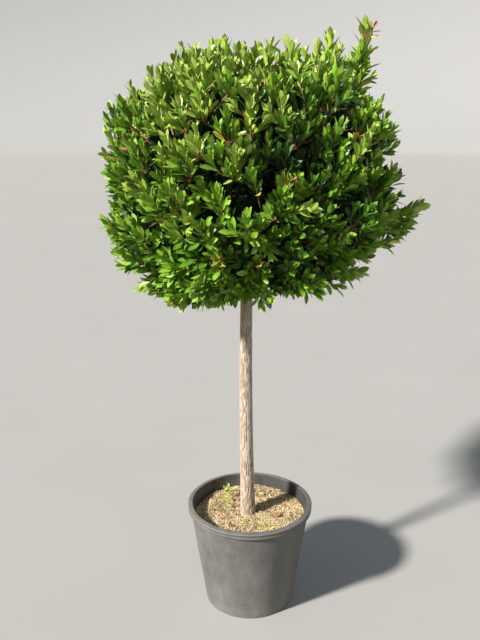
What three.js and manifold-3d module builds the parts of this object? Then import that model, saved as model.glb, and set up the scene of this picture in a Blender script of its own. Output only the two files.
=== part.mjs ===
// A strawberry tree grown as a standard: a clear straight stem with a dense ball of evergreen
// leaves on top, in a black nursery pot of potting mix.
//
// Everything is in millimetres, with +Z up. The origin is the middle of the pot's flat underside,
// and the front, where the pot's and the crown's sizes were taken, faces -Y.

import * as THREE from "three";
import { mergeVertices } from "three/addons/utils/BufferGeometryUtils.js";
import Module from "manifold-3d";

const wasm = await Module();
wasm.setup();

const GAP = 0.3; // between two pieces that touch

// Pot: a tapered tub with a rolled rim band
const RIM_RADIUS = 210;
const POT_HEIGHT = 355;
const RIM_BAND = 21;
const RIM_ROUNDING = 4;
const RIM_TAPER = 1;
const LIP_WIDTH = 17;
const LIP_FALL = 3; // how much lower its outer edge lies
const LIP_ROUNDING = 2;
const BODY_TOP_RADIUS = 200;
const BODY_FOOT_RADIUS = 150;
const FOOT_ROUNDING = 2;
const POT_WALL = 2.5;
const POT_SIDES = 40;

// Potting mix: a filling with an uneven top and a level seat where the trunk stands
const SOIL_LEVEL = 312;
const SOIL_RINGS = 3;
const SOIL_BUMP = 4;
const SOIL_WAVES = { x: 31, y: 27, slant: 17 }; // lengths of its gentle bumps, each over 2 pi
const SEAT_RADIUS = 42;

// Trunk: from the soil to its tip inside the crown
const TRUNK_FOOT = new THREE.Vector3(-6, 0, SOIL_LEVEL + GAP);
const TRUNK_TIP = new THREE.Vector3(-6, 0, 1402);
const TRUNK_SWAY = 8; // how far it bows towards -X at half its height
const TRUNK_BENDS = 4;
const TRUNK_RADIUS = 23.4;
const TRUNK_NECK_RADIUS = 18.8;
const TRUNK_NECK_HEIGHT = 1060;
const TRUNK_TIP_RADIUS = 8;
const FLARE = 3;
const FLARE_HEIGHT = 70;
const TRUNK_SIDES = 12;
const TRUNK_RINGS = 18;

// Crown: its outline is a rounded drum that is round from above
const CROWN_CENTRE = new THREE.Vector3(-2, 0, 1420);
const CROWN_HALF_WIDTH = 442;
const CROWN_RISE = 388; // from its centre to its top
const CROWN_DROP = 345; // and to its underside
const CROWN_SQUARENESS = 3;

// Masses of foliage: one on top and two rings. Radius and height place the middle of each one's
// space from the crown's centre, fork is the height where the ring's middle bough leaves the
// trunk, and limb is the radius that each of its boughs starts with.
const TOP_MASS = { radius: 0, height: 225 };
const MASS_RINGS = [
  { name: "upper", count: 5, radius: 270, height: 95, turn: 18, fork: 1290, limb: 6.5 },
  { name: "lower", count: 5, radius: 260, height: -150, turn: 54, fork: 1140, limb: 8 },
];
const SPACE_MARGIN = 1.5; // from each side of a space's walls
const LIMB_CLEARANCE = 8;

// Boughs: one to each mass of the rings
const BOUGH_STAGGER = 22; // between one fork's height and the next
const BOUGH_TIP_RADIUS = 4.5;
const BOUGH_REACH = 88;
const BOUGH_TIP_HEIGHT = 0.72; // of the way from its fork up to its mass's core
const BOUGH_BEND = { out: 0.4, up: 0.65 }; // where it bends, of its reach and of its rise
const BOUGH_SIDES = 6;
const BOUGH_RINGS = 4;
const LIMB_SAMPLES = 60;

// Cores: the dense middle of each mass
const CORE_SHARE = 0.55; // of the crown's outline
const CORE_MIDDLE = 0.72; // of the way to the middle of the mass's space
const CORE_INNER_RADIUS = 106; // kept free round the trunk for the boughs
const CORE_TRUNK_GAP = 28;
const CORE_DETAIL = 1;
const CORE_STEP = 3;
const STEM_SIDES = 6;
const STEM_RINGS = 3;

// Twigs
const TIP_COUNT = 78;
const TIP_SHARE = 0.82; // of the crown's outline
const TIP_SPREAD = 0.07; // how far a tip's share varies either way
const TIP_WALL_GAP = 27; // least distance of a tip from the walls of its space
const TIP_DRAW = 110; // tips at the walls are drawn towards a point this far out of the seat
const TIP_NUDGE = 0.06; // how far at a time, of the way there
const TIP_NUDGES = 8;
const TIPS_PER_TWIG = 3;
const FORK_SHARE = 0.6; // of the way from the core's middle to the tips
const TWIG_START = 0.3; // where a twig starts in the core, of the way to its fork
const FORK_OVERLAP = 0.03;
const TWIG_RADIUS = 6;
const TWIG_END_RADIUS = 4;
const TWIG_SIDES = 3;
const TWIG_SAMPLES = 8; // spaces between the points at which a twig is tested

// Long shoots that stand out of the outline: where their leaves end. Those on top grow straight up.
const UPRIGHT_ABOVE = 1750;
const UPRIGHT_RISE = 95;
const LONG_SHOOTS = [
  [318, -30, 1881], // the tallest, at the right of the top
  [226, 40, 1856],
  [105, -60, 1829],
  [-85, 20, 1835],
  [-159, -40, 1812],
  [509, -60, 1381], // the widest, at the right
  [401, -140, 1351],
  [-345, -100, 1128], // under the left side
  [-255, -120, 1088],
  [356, -40, 1164],
];

// Leaves: fewer and larger than the living plant's
const LEAF_LENGTH = 92;
const LEAF_WIDTH = 46;
const LEAF_THICKNESS = 3;
const LEAF_WIDEST = 0.6; // of its length
const LEAF_THICKEST = 0.12;
const LEAF_STEP = 17; // along a twig
const LEAVES_PER_TWIG = 5;
const LEAF_APART = 21; // least distance between the midribs of two leaves
const LEAF_TESTS = [0.4, 0.6, 0.8, 1]; // where the midrib is tested, of its length
const LEAF_TRIES = [[1, 0], [0.7, 0], [1, 0.7], [1, -0.7], [0.4, 0]]; // share of the spread, extra turn
const FIRST_SPREAD = THREE.MathUtils.degToRad(28); // of the leaf at a twig's end
const LAST_SPREAD = THREE.MathUtils.degToRad(80); // of its lowest leaf
const GOLDEN_ANGLE = Math.PI * (3 - Math.sqrt(5));
const CHANCE = { seed: 127.1, index: 311.7, stretch: 43758.5453 }; // of the seeded numbers
const UP = new THREE.Vector3(0, 0, 1);
const ALMOST_ALONG = 0.9; // the cosine from which a direction counts as along an axis
const OFF_AXIS = new THREE.Vector3(0.3, 0.1, 1); // a direction that nothing here runs along

const materials = {
  pot: new THREE.MeshStandardMaterial({ color: 0x4a4a48, roughness: 0.55, metalness: 0 }),
  soil: new THREE.MeshStandardMaterial({ color: 0x8f7450, roughness: 1, metalness: 0 }),
  bark: new THREE.MeshStandardMaterial({ color: 0xa08465, roughness: 0.9, metalness: 0 }),
  foliage: new THREE.MeshStandardMaterial({ color: 0x4f7d2a, roughness: 0.4, metalness: 0 }),
};

const group = new THREE.Group();

/** A number from 0 to 1 that is always the same for the same two numbers. */
function chance(seed, index) {
  const wave = Math.sin(seed * CHANCE.seed + index * CHANCE.index) * CHANCE.stretch;
  return wave - Math.floor(wave);
}

function mix(from, to, share) {
  return from + (to - from) * share;
}

/** The same shape with its corners shared, so that it is closed. */
function closed(geometry) {
  geometry.deleteAttribute("normal");
  geometry.deleteAttribute("uv");
  return mergeVertices(geometry, 1e-4);
}

function addPiece(name, geometry, material) {
  const mesh = new THREE.Mesh(geometry, material);
  mesh.name = name;
  group.add(mesh);
}

function solidOf(geometry) {
  const shape = closed(geometry);
  return new wasm.Manifold(new wasm.Mesh({
    numProp: 3,
    vertProperties: new Float32Array(shape.attributes.position.array),
    triVerts: new Uint32Array(shape.index.array),
  }));
}

function geometryOf(positions, triangles) {
  const geometry = new THREE.BufferGeometry();
  geometry.setAttribute("position", new THREE.Float32BufferAttribute(positions, 3));
  geometry.setIndex(Array.from(triangles));
  return geometry;
}

/** Moves a cylinder that stands along Y from 0 to 1 so that it runs along a curve. */
function alongCurve(cylinder, curve) {
  const { position } = cylinder.attributes;
  const side = new THREE.Vector3(1, 0, 0);
  if (Math.abs(curve.getTangent(0).x) > ALMOST_ALONG) {
    side.set(0, 1, 0);
  }
  const vertex = new THREE.Vector3();
  for (let i = 0; i < position.count; i++) {
    vertex.fromBufferAttribute(position, i);
    const share = THREE.MathUtils.clamp(vertex.y, 0, 1);
    const tangent = curve.getTangent(share);
    const across = new THREE.Vector3().crossVectors(tangent, side).normalize();
    const along = new THREE.Vector3().crossVectors(tangent, across);
    const point = curve.getPoint(share);
    point.addScaledVector(across, vertex.z).addScaledVector(along, vertex.x);
    position.setXYZ(i, point.x, point.y, point.z);
  }
  return cylinder;
}

/** A round limb along a curve, with the radius that radiusAt gives for each share of its length. */
function limbGeometry(curve, radiusAt, sides, rings) {
  const cylinder = new THREE.CylinderGeometry(1, 1, 1, sides, rings);
  cylinder.translate(0, 0.5, 0);
  const { position } = cylinder.attributes;
  for (let i = 0; i < position.count; i++) {
    const radius = radiusAt(position.getY(i));
    position.setX(i, position.getX(i) * radius);
    position.setZ(i, position.getZ(i) * radius);
  }
  return alongCurve(cylinder, curve);
}

function potGeometry() {
  const bandFoot = POT_HEIGHT - RIM_BAND;
  const lipInside = RIM_RADIUS - LIP_WIDTH;
  const outline = [
    [0, 0],
    [BODY_FOOT_RADIUS - FOOT_ROUNDING, 0],
    [BODY_FOOT_RADIUS, FOOT_ROUNDING],
    [BODY_TOP_RADIUS, bandFoot],
    [RIM_RADIUS - RIM_TAPER, bandFoot],
    [RIM_RADIUS, POT_HEIGHT - LIP_FALL - RIM_ROUNDING],
    [RIM_RADIUS - RIM_ROUNDING, POT_HEIGHT - LIP_FALL],
    [lipInside + LIP_ROUNDING, POT_HEIGHT],
    [lipInside, POT_HEIGHT - LIP_ROUNDING],
    [BODY_FOOT_RADIUS - POT_WALL, POT_WALL],
    [0, POT_WALL],
  ];
  const points = outline.map(([radius, height]) => new THREE.Vector2(radius, height));
  return closed(new THREE.LatheGeometry(points, POT_SIDES).rotateX(Math.PI / 2));
}

/** The radius of the pot's inside at a height. */
function potInside(height) {
  const share = (height - POT_WALL) / (POT_HEIGHT - LIP_ROUNDING - POT_WALL);
  return mix(BODY_FOOT_RADIUS - POT_WALL, RIM_RADIUS - LIP_WIDTH, share);
}

/** How high the soil lies at a place, level where the trunk stands. */
function soilHeight(x, y) {
  const broad = Math.sin(x / SOIL_WAVES.x + 1) * Math.cos(y / SOIL_WAVES.y);
  const slanted = Math.sin((x + y) / SOIL_WAVES.slant) / 2;
  const away = THREE.MathUtils.smoothstep(Math.hypot(x, y), SEAT_RADIUS + 1, SEAT_RADIUS * 2);
  return SOIL_LEVEL + SOIL_BUMP * (broad + slanted) * away;
}

function soilGeometry() {
  const clear = GAP / Math.cos(Math.PI / POT_SIDES);
  const floor = POT_WALL + GAP;
  const edge = potInside(SOIL_LEVEL) - clear;
  const points = [new THREE.Vector2(0, floor), new THREE.Vector2(potInside(floor) - clear, floor)];
  for (let ring = SOIL_RINGS; ring >= 0; ring--) {
    points.push(new THREE.Vector2(mix(SEAT_RADIUS, edge, ring / SOIL_RINGS), SOIL_LEVEL));
  }
  points.push(new THREE.Vector2(0, SOIL_LEVEL));
  const geometry = new THREE.LatheGeometry(points, POT_SIDES).rotateX(Math.PI / 2);
  const { position } = geometry.attributes;
  for (let i = 0; i < position.count; i++) {
    const [x, y, z] = [position.getX(i), position.getY(i), position.getZ(i)];
    if (z > SOIL_LEVEL - 1 && Math.hypot(x, y) < edge - 1) {
      position.setZ(i, soilHeight(x, y));
    }
  }
  return closed(geometry);
}

const trunkCurve = new THREE.CatmullRomCurve3(Array.from({ length: TRUNK_BENDS + 1 }, (_, i) => {
  const share = i / TRUNK_BENDS;
  const point = new THREE.Vector3().lerpVectors(TRUNK_FOOT, TRUNK_TIP, share);
  point.x -= TRUNK_SWAY * Math.sin(Math.PI * share);
  return point;
}));

/** The trunk's radius: an even taper with a flare at the soil, then a quicker taper in the crown. */
function trunkRadius(share) {
  const height = share * (TRUNK_TIP.z - TRUNK_FOOT.z);
  const neck = TRUNK_NECK_HEIGHT - TRUNK_FOOT.z;
  if (height > neck) {
    const above = (height - neck) / (TRUNK_TIP.z - TRUNK_NECK_HEIGHT);
    return mix(TRUNK_NECK_RADIUS, TRUNK_TIP_RADIUS, above);
  }
  return mix(TRUNK_RADIUS, TRUNK_NECK_RADIUS, height / neck) + FLARE * Math.exp(-height / FLARE_HEIGHT);
}

/** The trunk, or a copy of it that is larger by extra all round. */
function trunkGeometry(extra = 0) {
  const geometry = limbGeometry(trunkCurve, (share) => trunkRadius(share) + extra, TRUNK_SIDES, TRUNK_RINGS);
  const { position } = geometry.attributes;
  for (let i = 0; i < position.count; i++) {
    if (position.getZ(i) < TRUNK_FOOT.z + 1) {
      position.setZ(i, TRUNK_FOOT.z);
    }
  }
  return geometry;
}

/** The list of masses, each with the middle of its space, its core's middle and its limb's end. */
function planMasses() {
  const masses = [{ name: "top", azimuth: 0, ...TOP_MASS }];
  for (const ring of MASS_RINGS) {
    for (let k = 0; k < ring.count; k++) {
      const azimuth = THREE.MathUtils.degToRad(ring.turn + (360 * k) / ring.count);
      const fork = ring.fork + BOUGH_STAGGER * (((k * 2) % ring.count) - (ring.count - 1) / 2);
      masses.push({ ...ring, name: `${ring.name}_${k + 1}`, azimuth, fork });
    }
  }
  for (const mass of masses) {
    const offset = new THREE.Vector3(mass.radius, 0, mass.height);
    offset.applyAxisAngle(UP, mass.azimuth);
    mass.seat = offset.clone().add(CROWN_CENTRE);
    mass.middle = offset.clone().multiplyScalar(CORE_MIDDLE).add(CROWN_CENTRE);
    if (mass.fork) {
      mass.bough = planBough(mass);
      mass.boughRadius = (share) => mix(mass.limb, BOUGH_TIP_RADIUS, share);
    }
  }
  return masses;
}

/** A bough's curve: it leaves the trunk's middle steeply and bends outwards to its mass. */
function planBough(mass) {
  const share = (mass.fork - TRUNK_FOOT.z) / (TRUNK_TIP.z - TRUNK_FOOT.z);
  const start = trunkCurve.getPoint(share);
  const out = new THREE.Vector3(Math.cos(mass.azimuth), Math.sin(mass.azimuth), 0);
  const end = start.clone().addScaledVector(out, BOUGH_REACH);
  end.z = mix(start.z, mass.middle.z, BOUGH_TIP_HEIGHT);
  const bend = start.clone().addScaledVector(out, BOUGH_REACH * BOUGH_BEND.out);
  bend.z = mix(start.z, end.z, BOUGH_BEND.up);
  return new THREE.QuadraticBezierCurve3(start, bend, end);
}

const masses = planMasses();

/** Points along a limb's middle, each with the limb's radius there. */
function samplesOf(curve, radiusAt) {
  return curve.getPoints(LIMB_SAMPLES).map((point, i) => ({ point, radius: radiusAt(i / LIMB_SAMPLES) }));
}

const limbSamples = samplesOf(trunkCurve, trunkRadius);
for (const { bough, boughRadius } of masses.filter((mass) => mass.bough)) {
  limbSamples.push(...samplesOf(bough, boughRadius));
}

/** How far a point is from the nearest surface of the trunk or a bough. */
function distanceToLimbs(point) {
  return Math.min(...limbSamples.map((sample) => point.distanceTo(sample.point) - sample.radius));
}

/** How far a point is inside the space of a mass: the walls lie midway between two masses. */
function depthInSpace(mass, point) {
  let depth = Infinity;
  for (const other of masses) {
    if (other !== mass) {
      const across = new THREE.Vector3().subVectors(other.seat, mass.seat);
      const wall = new THREE.Vector3().addVectors(other.seat, mass.seat).multiplyScalar(0.5);
      depth = Math.min(depth, wall.sub(point).dot(across.normalize()));
    }
  }
  return depth;
}

/** How far out a point lies: 0 at the crown's centre and 1 on its outline. */
function crownShare(point) {
  const x = (point.x - CROWN_CENTRE.x) / CROWN_HALF_WIDTH;
  const y = (point.y - CROWN_CENTRE.y) / CROWN_HALF_WIDTH;
  const height = point.z - CROWN_CENTRE.z;
  const z = height / (height > 0 ? CROWN_RISE : CROWN_DROP);
  const n = CROWN_SQUARENESS;
  return (Math.hypot(x, y) ** n + Math.abs(z) ** n) ** (1 / n);
}

function inCore(mass, point) {
  const fromAxis = Math.hypot(point.x - TRUNK_TIP.x, point.y - TRUNK_TIP.y);
  const beside = mass.bough ? fromAxis > CORE_INNER_RADIUS : point.z > TRUNK_TIP.z + CORE_TRUNK_GAP;
  return beside && crownShare(point) < CORE_SHARE && depthInSpace(mass, point) > SPACE_MARGIN * 2;
}

/** The dense middle of a mass: each corner goes out from its middle as far as the core may reach. */
function coreGeometry(mass) {
  const geometry = closed(new THREE.IcosahedronGeometry(1, CORE_DETAIL));
  const { position } = geometry.attributes;
  for (let i = 0; i < position.count; i++) {
    const direction = new THREE.Vector3().fromBufferAttribute(position, i);
    const point = mass.middle.clone();
    while (inCore(mass, point)) {
      point.addScaledVector(direction, CORE_STEP);
    }
    point.addScaledVector(direction, -CORE_STEP);
    position.setXYZ(i, point.x, point.y, point.z);
  }
  return geometry;
}

/** A stem from just off the end of the bough, or of the trunk, into the core. */
function stemGeometry(mass) {
  const limb = mass.bough ?? trunkCurve;
  const radius = mass.bough ? BOUGH_TIP_RADIUS : TRUNK_TIP_RADIUS;
  const start = limb.getPoint(1).addScaledVector(limb.getTangent(1), GAP);
  const bend = start.clone().addScaledVector(limb.getTangent(1), start.distanceTo(mass.middle) / 3);
  const curve = new THREE.QuadraticBezierCurve3(start, bend, mass.middle.clone());
  return limbGeometry(curve, (share) => mix(radius, TWIG_RADIUS, share), STEM_SIDES, STEM_RINGS);
}

/** Where twigs end: evenly spread under the crown's outline, and then the long shoots. */
function planTips() {
  const tips = [];
  for (let i = 0; i < TIP_COUNT; i++) {
    const z = 1 - (2 * i + 1) / TIP_COUNT;
    const ring = Math.sqrt(1 - z * z);
    const direction = new THREE.Vector3(ring, 0, z).applyAxisAngle(UP, i * GOLDEN_ANGLE);
    const share = TIP_SHARE + TIP_SPREAD * (2 * chance(1, i) - 1);
    const outline = crownShare(CROWN_CENTRE.clone().add(direction));
    tips.push({ seed: i, point: CROWN_CENTRE.clone().addScaledVector(direction, share / outline) });
  }
  LONG_SHOOTS.forEach((place, i) => {
    const end = new THREE.Vector3(...place);
    const upright = end.z > UPRIGHT_ABOVE;
    const along = upright ? UP : new THREE.Vector3().subVectors(end, CROWN_CENTRE).normalize();
    const point = end.addScaledVector(along, -LEAF_LENGTH * Math.cos(FIRST_SPREAD));
    tips.push({ seed: TIP_COUNT + i, point, upright });
  });
  return tips;
}

const tips = planTips();

/** The tips in a mass's space, in order round its middle, those at the walls drawn in from them. */
function tipsOf(mass) {
  const own = tips.filter((tip) => depthInSpace(mass, tip.point) > 0);
  const axis = new THREE.Vector3().subVectors(mass.seat, CROWN_CENTRE).normalize();
  const right = new THREE.Vector3().crossVectors(axis, OFF_AXIS).normalize();
  const up = new THREE.Vector3().crossVectors(right, axis);
  const outer = mass.seat.clone().addScaledVector(axis, TIP_DRAW);
  const turns = new Map();
  for (const tip of own) {
    for (let k = 0; k < TIP_NUDGES && depthInSpace(mass, tip.point) < TIP_WALL_GAP; k++) {
      tip.point.lerp(outer, TIP_NUDGE);
    }
    const offset = tip.point.clone().sub(mass.middle);
    turns.set(tip, Math.atan2(offset.dot(up), offset.dot(right)));
  }
  return own.sort((a, b) => turns.get(a) - turns.get(b));
}

/** Whether a point may hold a leaf of this mass, or a twig of some radius. */
function isFree(mass, point, radius = 0) {
  const inside = depthInSpace(mass, point) > SPACE_MARGIN + radius;
  return inside && distanceToLimbs(point) > LIMB_CLEARANCE + radius;
}

/** Whether a whole twig keeps to its mass's space and clear of the limbs. */
function curveIsFree(mass, curve) {
  return curve.getPoints(TWIG_SAMPLES).every((point) => isFree(mass, point, TWIG_RADIUS));
}

/** A leaf blade of eight faces along X, with its root at 0, thickest close to the root. */
function leafGeometry() {
  const geometry = new THREE.OctahedronGeometry(1);
  const { position } = geometry.attributes;
  for (let i = 0; i < position.count; i++) {
    const [x, y, z] = [position.getX(i), position.getY(i), position.getZ(i)];
    const along = Math.abs(x) > 0.5 ? (x + 1) / 2 : mix(LEAF_WIDEST, LEAF_THICKEST, Math.abs(z));
    position.setXYZ(i, along * LEAF_LENGTH, (y * LEAF_WIDTH) / 2, (z * LEAF_THICKNESS) / 2);
  }
  return geometry;
}

/** A leaf on a twig, turned round it and spread from it. Its upper face looks along the twig. */
function leafPlace(curve, share, turn, spread) {
  const axis = curve.getTangent(share);
  const side = new THREE.Vector3().crossVectors(axis, OFF_AXIS).normalize();
  side.applyAxisAngle(axis, turn);
  const along = axis.clone().multiplyScalar(Math.cos(spread)).addScaledVector(side, Math.sin(spread));
  const face = axis.clone().multiplyScalar(Math.sin(spread)).addScaledVector(side, -Math.cos(spread));
  const across = new THREE.Vector3().crossVectors(face, along);
  return new THREE.Matrix4().makeBasis(along, across, face).setPosition(curve.getPoint(share));
}

/** Whether a leaf at a place keeps to its mass's space and clear of the leaves there already. */
function leafIsFree(mass, place, taken) {
  const onLeaf = (share, width) => new THREE.Vector3(share * LEAF_LENGTH, width / 2, 0).applyMatrix4(place);
  const midrib = LEAF_TESTS.map((share) => onLeaf(share, 0));
  const edges = [-LEAF_WIDTH, LEAF_WIDTH].map((width) => onLeaf(LEAF_WIDEST, width));
  const clear = [...midrib, ...edges].every((point) => isFree(mass, point));
  const apart = midrib.every((point) => taken.every((other) => point.distanceTo(other) > LEAF_APART));
  if (clear && apart) {
    taken.push(...midrib);
  }
  return clear && apart;
}

/** The leaves of one twig, from its end down. Each is folded in until it is free, or left out. */
function leavesOf(mass, curve, seed, taken) {
  const leaves = [];
  const length = curve.getLength();
  const count = Math.min(LEAVES_PER_TWIG, Math.floor(length / LEAF_STEP));
  for (let k = 0; k < count; k++) {
    const share = 1 - (TWIG_END_RADIUS + LEAF_STEP * k) / length;
    const turn = k * GOLDEN_ANGLE + 2 * Math.PI * chance(2, seed);
    const spread = mix(FIRST_SPREAD, LAST_SPREAD, k / (LEAVES_PER_TWIG - 1));
    const place = LEAF_TRIES.map(([fold, extra]) => leafPlace(curve, share, turn + extra, spread * fold))
      .find((candidate) => leafIsFree(mass, candidate, taken));
    if (place) {
      leaves.push(leafGeometry().applyMatrix4(place));
    }
  }
  return leaves;
}

/** The straight twigs that end at a tip: one, or for an upright shoot two with a knee between. */
function twigsTo(tip, root) {
  if (!tip.upright) {
    return [{ curve: new THREE.LineCurve3(root, tip.point), foot: TWIG_RADIUS }];
  }
  const knee = tip.point.clone().addScaledVector(UP, -UPRIGHT_RISE);
  const joint = knee.clone().addScaledVector(UP, -TWIG_END_RADIUS);
  return [
    { curve: new THREE.LineCurve3(root, knee), foot: TWIG_RADIUS },
    { curve: new THREE.LineCurve3(joint, tip.point), foot: TWIG_END_RADIUS },
  ];
}

/** One twig that forks to a few neighbouring tips, with their leaves. */
function spray(mass, cluster, taken) {
  const fork = new THREE.Vector3();
  cluster.forEach((tip) => fork.addScaledVector(tip.point, 1 / cluster.length));
  fork.lerp(mass.middle, 1 - FORK_SHARE);
  const start = mass.middle.clone().lerp(fork, TWIG_START);
  const stalk = new THREE.LineCurve3(start, fork);
  if (!curveIsFree(mass, stalk)) {
    return [];
  }
  const pieces = [limbGeometry(stalk, () => TWIG_RADIUS, TWIG_SIDES, 1)];
  const root = fork.clone().lerp(start, FORK_OVERLAP);
  for (const tip of cluster) {
    const twigs = twigsTo(tip, root);
    if (!twigs.every(({ curve }) => curveIsFree(mass, curve))) {
      continue;
    }
    for (const { curve, foot } of twigs.reverse()) {
      pieces.push(limbGeometry(curve, (share) => mix(foot, TWIG_END_RADIUS, share), TWIG_SIDES, 1));
      pieces.push(...leavesOf(mass, curve, tip.seed, taken));
    }
  }
  return pieces;
}

/** All sprays of a mass. Its tips are dealt out in order, a few to each. */
function sprays(mass) {
  const taken = [];
  const own = tipsOf(mass);
  const count = Math.ceil(own.length / TIPS_PER_TWIG);
  const firstOf = (k) => Math.floor((k * own.length) / count);
  return Array.from({ length: count }, (_, k) => (
    spray(mass, own.slice(firstOf(k), firstOf(k + 1)), taken)
  )).flat();
}

/** The largest closed shell of a solid: sealed hollows are filled and loose scraps dropped. */
function largestShell(solid) {
  const { vertProperties: places, triVerts: corners } = solid.getMesh();
  const shellOf = Array.from({ length: corners.length / 3 }, (_, i) => i);
  const find = (i) => {
    while (shellOf[i] !== i) {
      shellOf[i] = shellOf[shellOf[i]];
      i = shellOf[i];
    }
    return i;
  };
  const edges = new Map();
  for (let i = 0; i < corners.length; i++) {
    const next = i % 3 === 2 ? i - 2 : i + 1;
    const edge = [corners[i], corners[next]].sort((a, b) => a - b).join();
    const triangle = Math.floor(i / 3);
    shellOf[find(triangle)] = find(edges.get(edge) ?? triangle);
    edges.set(edge, triangle);
  }
  const shells = new Map();
  const at = (i) => new THREE.Vector3().fromArray(places, 3 * i);
  for (let t = 0; t < shellOf.length; t++) {
    const shell = shells.get(find(t)) ?? { volume: 0, triangles: [] };
    const [a, b, c] = corners.slice(3 * t, 3 * t + 3);
    shell.volume += at(a).dot(at(b).cross(at(c))) / 6;
    shell.triangles.push(a, b, c);
    shells.set(find(t), shell);
  }
  const largest = [...shells.values()].sort((a, b) => b.volume - a.volume)[0];
  return geometryOf(places, largest.triangles);
}

function massGeometry(mass) {
  let solid = solidOf(coreGeometry(mass)).add(solidOf(stemGeometry(mass)));
  for (const piece of sprays(mass)) {
    solid = solid.add(solidOf(piece));
  }
  return largestShell(solid);
}

function boughGeometry(mass) {
  const solid = solidOf(limbGeometry(mass.bough, mass.boughRadius, BOUGH_SIDES, BOUGH_RINGS));
  return largestShell(solid.subtract(solidOf(trunkGeometry(GAP))));
}

addPiece("pot", potGeometry(), materials.pot);
addPiece("soil", soilGeometry(), materials.soil);
addPiece("trunk", closed(trunkGeometry()), materials.bark);
for (const mass of masses) {
  if (mass.bough) {
    addPiece(`bough_${mass.name}`, boughGeometry(mass), materials.bark);
  }
  addPiece(`foliage_${mass.name}`, massGeometry(mass), materials.foliage);
}

export default group;
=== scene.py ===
import math
from types import SimpleNamespace

import bpy
import numpy as np
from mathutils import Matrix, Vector


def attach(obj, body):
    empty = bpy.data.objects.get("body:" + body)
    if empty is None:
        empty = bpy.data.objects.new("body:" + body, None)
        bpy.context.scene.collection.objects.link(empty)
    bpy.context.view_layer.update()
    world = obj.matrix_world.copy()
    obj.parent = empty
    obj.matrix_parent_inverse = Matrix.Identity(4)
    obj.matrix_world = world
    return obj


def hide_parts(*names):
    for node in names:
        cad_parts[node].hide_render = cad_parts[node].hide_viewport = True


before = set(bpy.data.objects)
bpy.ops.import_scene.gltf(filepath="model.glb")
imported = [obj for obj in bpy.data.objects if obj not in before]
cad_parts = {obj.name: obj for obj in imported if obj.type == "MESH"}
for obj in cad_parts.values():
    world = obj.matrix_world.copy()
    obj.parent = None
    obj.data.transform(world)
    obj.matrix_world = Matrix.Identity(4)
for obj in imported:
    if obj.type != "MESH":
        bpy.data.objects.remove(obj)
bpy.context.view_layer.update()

UP = np.array([0.0, 0.0, 1.0])
OFF_AXIS = np.array([0.3, 0.1, 1.0])  # no mass lies this way from the crown's centre
GOLDEN_ANGLE = math.pi * (3 - math.sqrt(5))
CHANCE = {"seed": 127.1, "index": 311.7, "stretch": 43758.5453}  # of the seeded numbers
NOISE_ROWS = 97  # after which smooth noise repeats
TINY = 1e-6  # keeps divisions clear of 0
CENTRE_RADIUS = 0.001  # where a turned outline starts and ends, beside its axis

# Camera
CAMERA_PLACE = (-0.033, -2.268, 1.646)
CAMERA_PITCH = 16.1  # degrees down
CAMERA_LENS = 42.13

# Stage and light
STAGE_START = 0.01  # radius of the hole in the floor's middle, under the pot
STAGE_RADIUS = 24.0
STAGE_CURVE = 6.0
STAGE_HEIGHT = 16.0
STAGE_SIDES = 96
STAGE_RINGS = {"floor": 8, "curve": 24}
WALL_STARTS = 0.06  # of the curve's height, above which all paint is the wall's
LIGHT_TARGET = (0.0, 0.0, 1.0)
KEY = {"place": (-4.6, -3.2, 5.0), "strength": 10.0, "angle": 5, "tone": (1.0, 0.95, 0.87)}
FILL = {"place": (3.5, -4.0, 2.6), "power": 25, "size": 3.5, "tone": (0.85, 0.92, 1.0)}
SKY = {"tone": (0.8, 0.9, 1.0, 1.0), "strength": 0.42}

# Pot
POT_HEIGHT = 0.355
RIM_RADIUS = 0.210
RIM_BAND = 0.021
BAND_INSET = 0.0024  # how far it stands back from the lip
BAND_BEAD = 0.0050  # height of the bead along its foot
BEAD_INSET = 0.0007
BEAD_EDGE = 0.0015
BAND_CORNER = {"radius": 0.0018, "drop": 0.002}  # of the hollow under the band
LIP_WIDTH = 0.017
LIP_FALL = 0.003  # how much lower its outer edge lies
LIP_EDGE = 0.0020
LIP_UNDERCUT = 2.2  # how far its outer edge reaches down, in radii of that edge
LIP_INNER_EDGE = 0.0030
BODY_TOP_RADIUS = 0.200
BODY_FOOT_RADIUS = 0.150
FOOT_EDGE = 0.002
WALL_ENDS = 0.003  # where the outer wall is straight, from this far over the foot to as far under the band
INNER_WALL_TOP = 0.004  # under the pot's top
POT_WALL = 0.0025
POT_SIDES = 192
POT_ROWS = {"outside": 44, "inside": 40}
POT_SHRINK = 0.0035  # how much smaller the tub is than its outline, as a share
POT_DENTS = (
    {"waves": 2, "depth": 0.0006, "twist": 0, "start": 0.7},
    {"waves": 3, "depth": 0.0004, "twist": 10, "start": 0.0},
)
FLAT_RADIUS = 0.1  # of the floor's middle, which is neither shrunk nor dented
GREYED_ROWS = 2  # of the outline past the lip's top, greyed like the outside; the rows past them take the inside's painted shade
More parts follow.
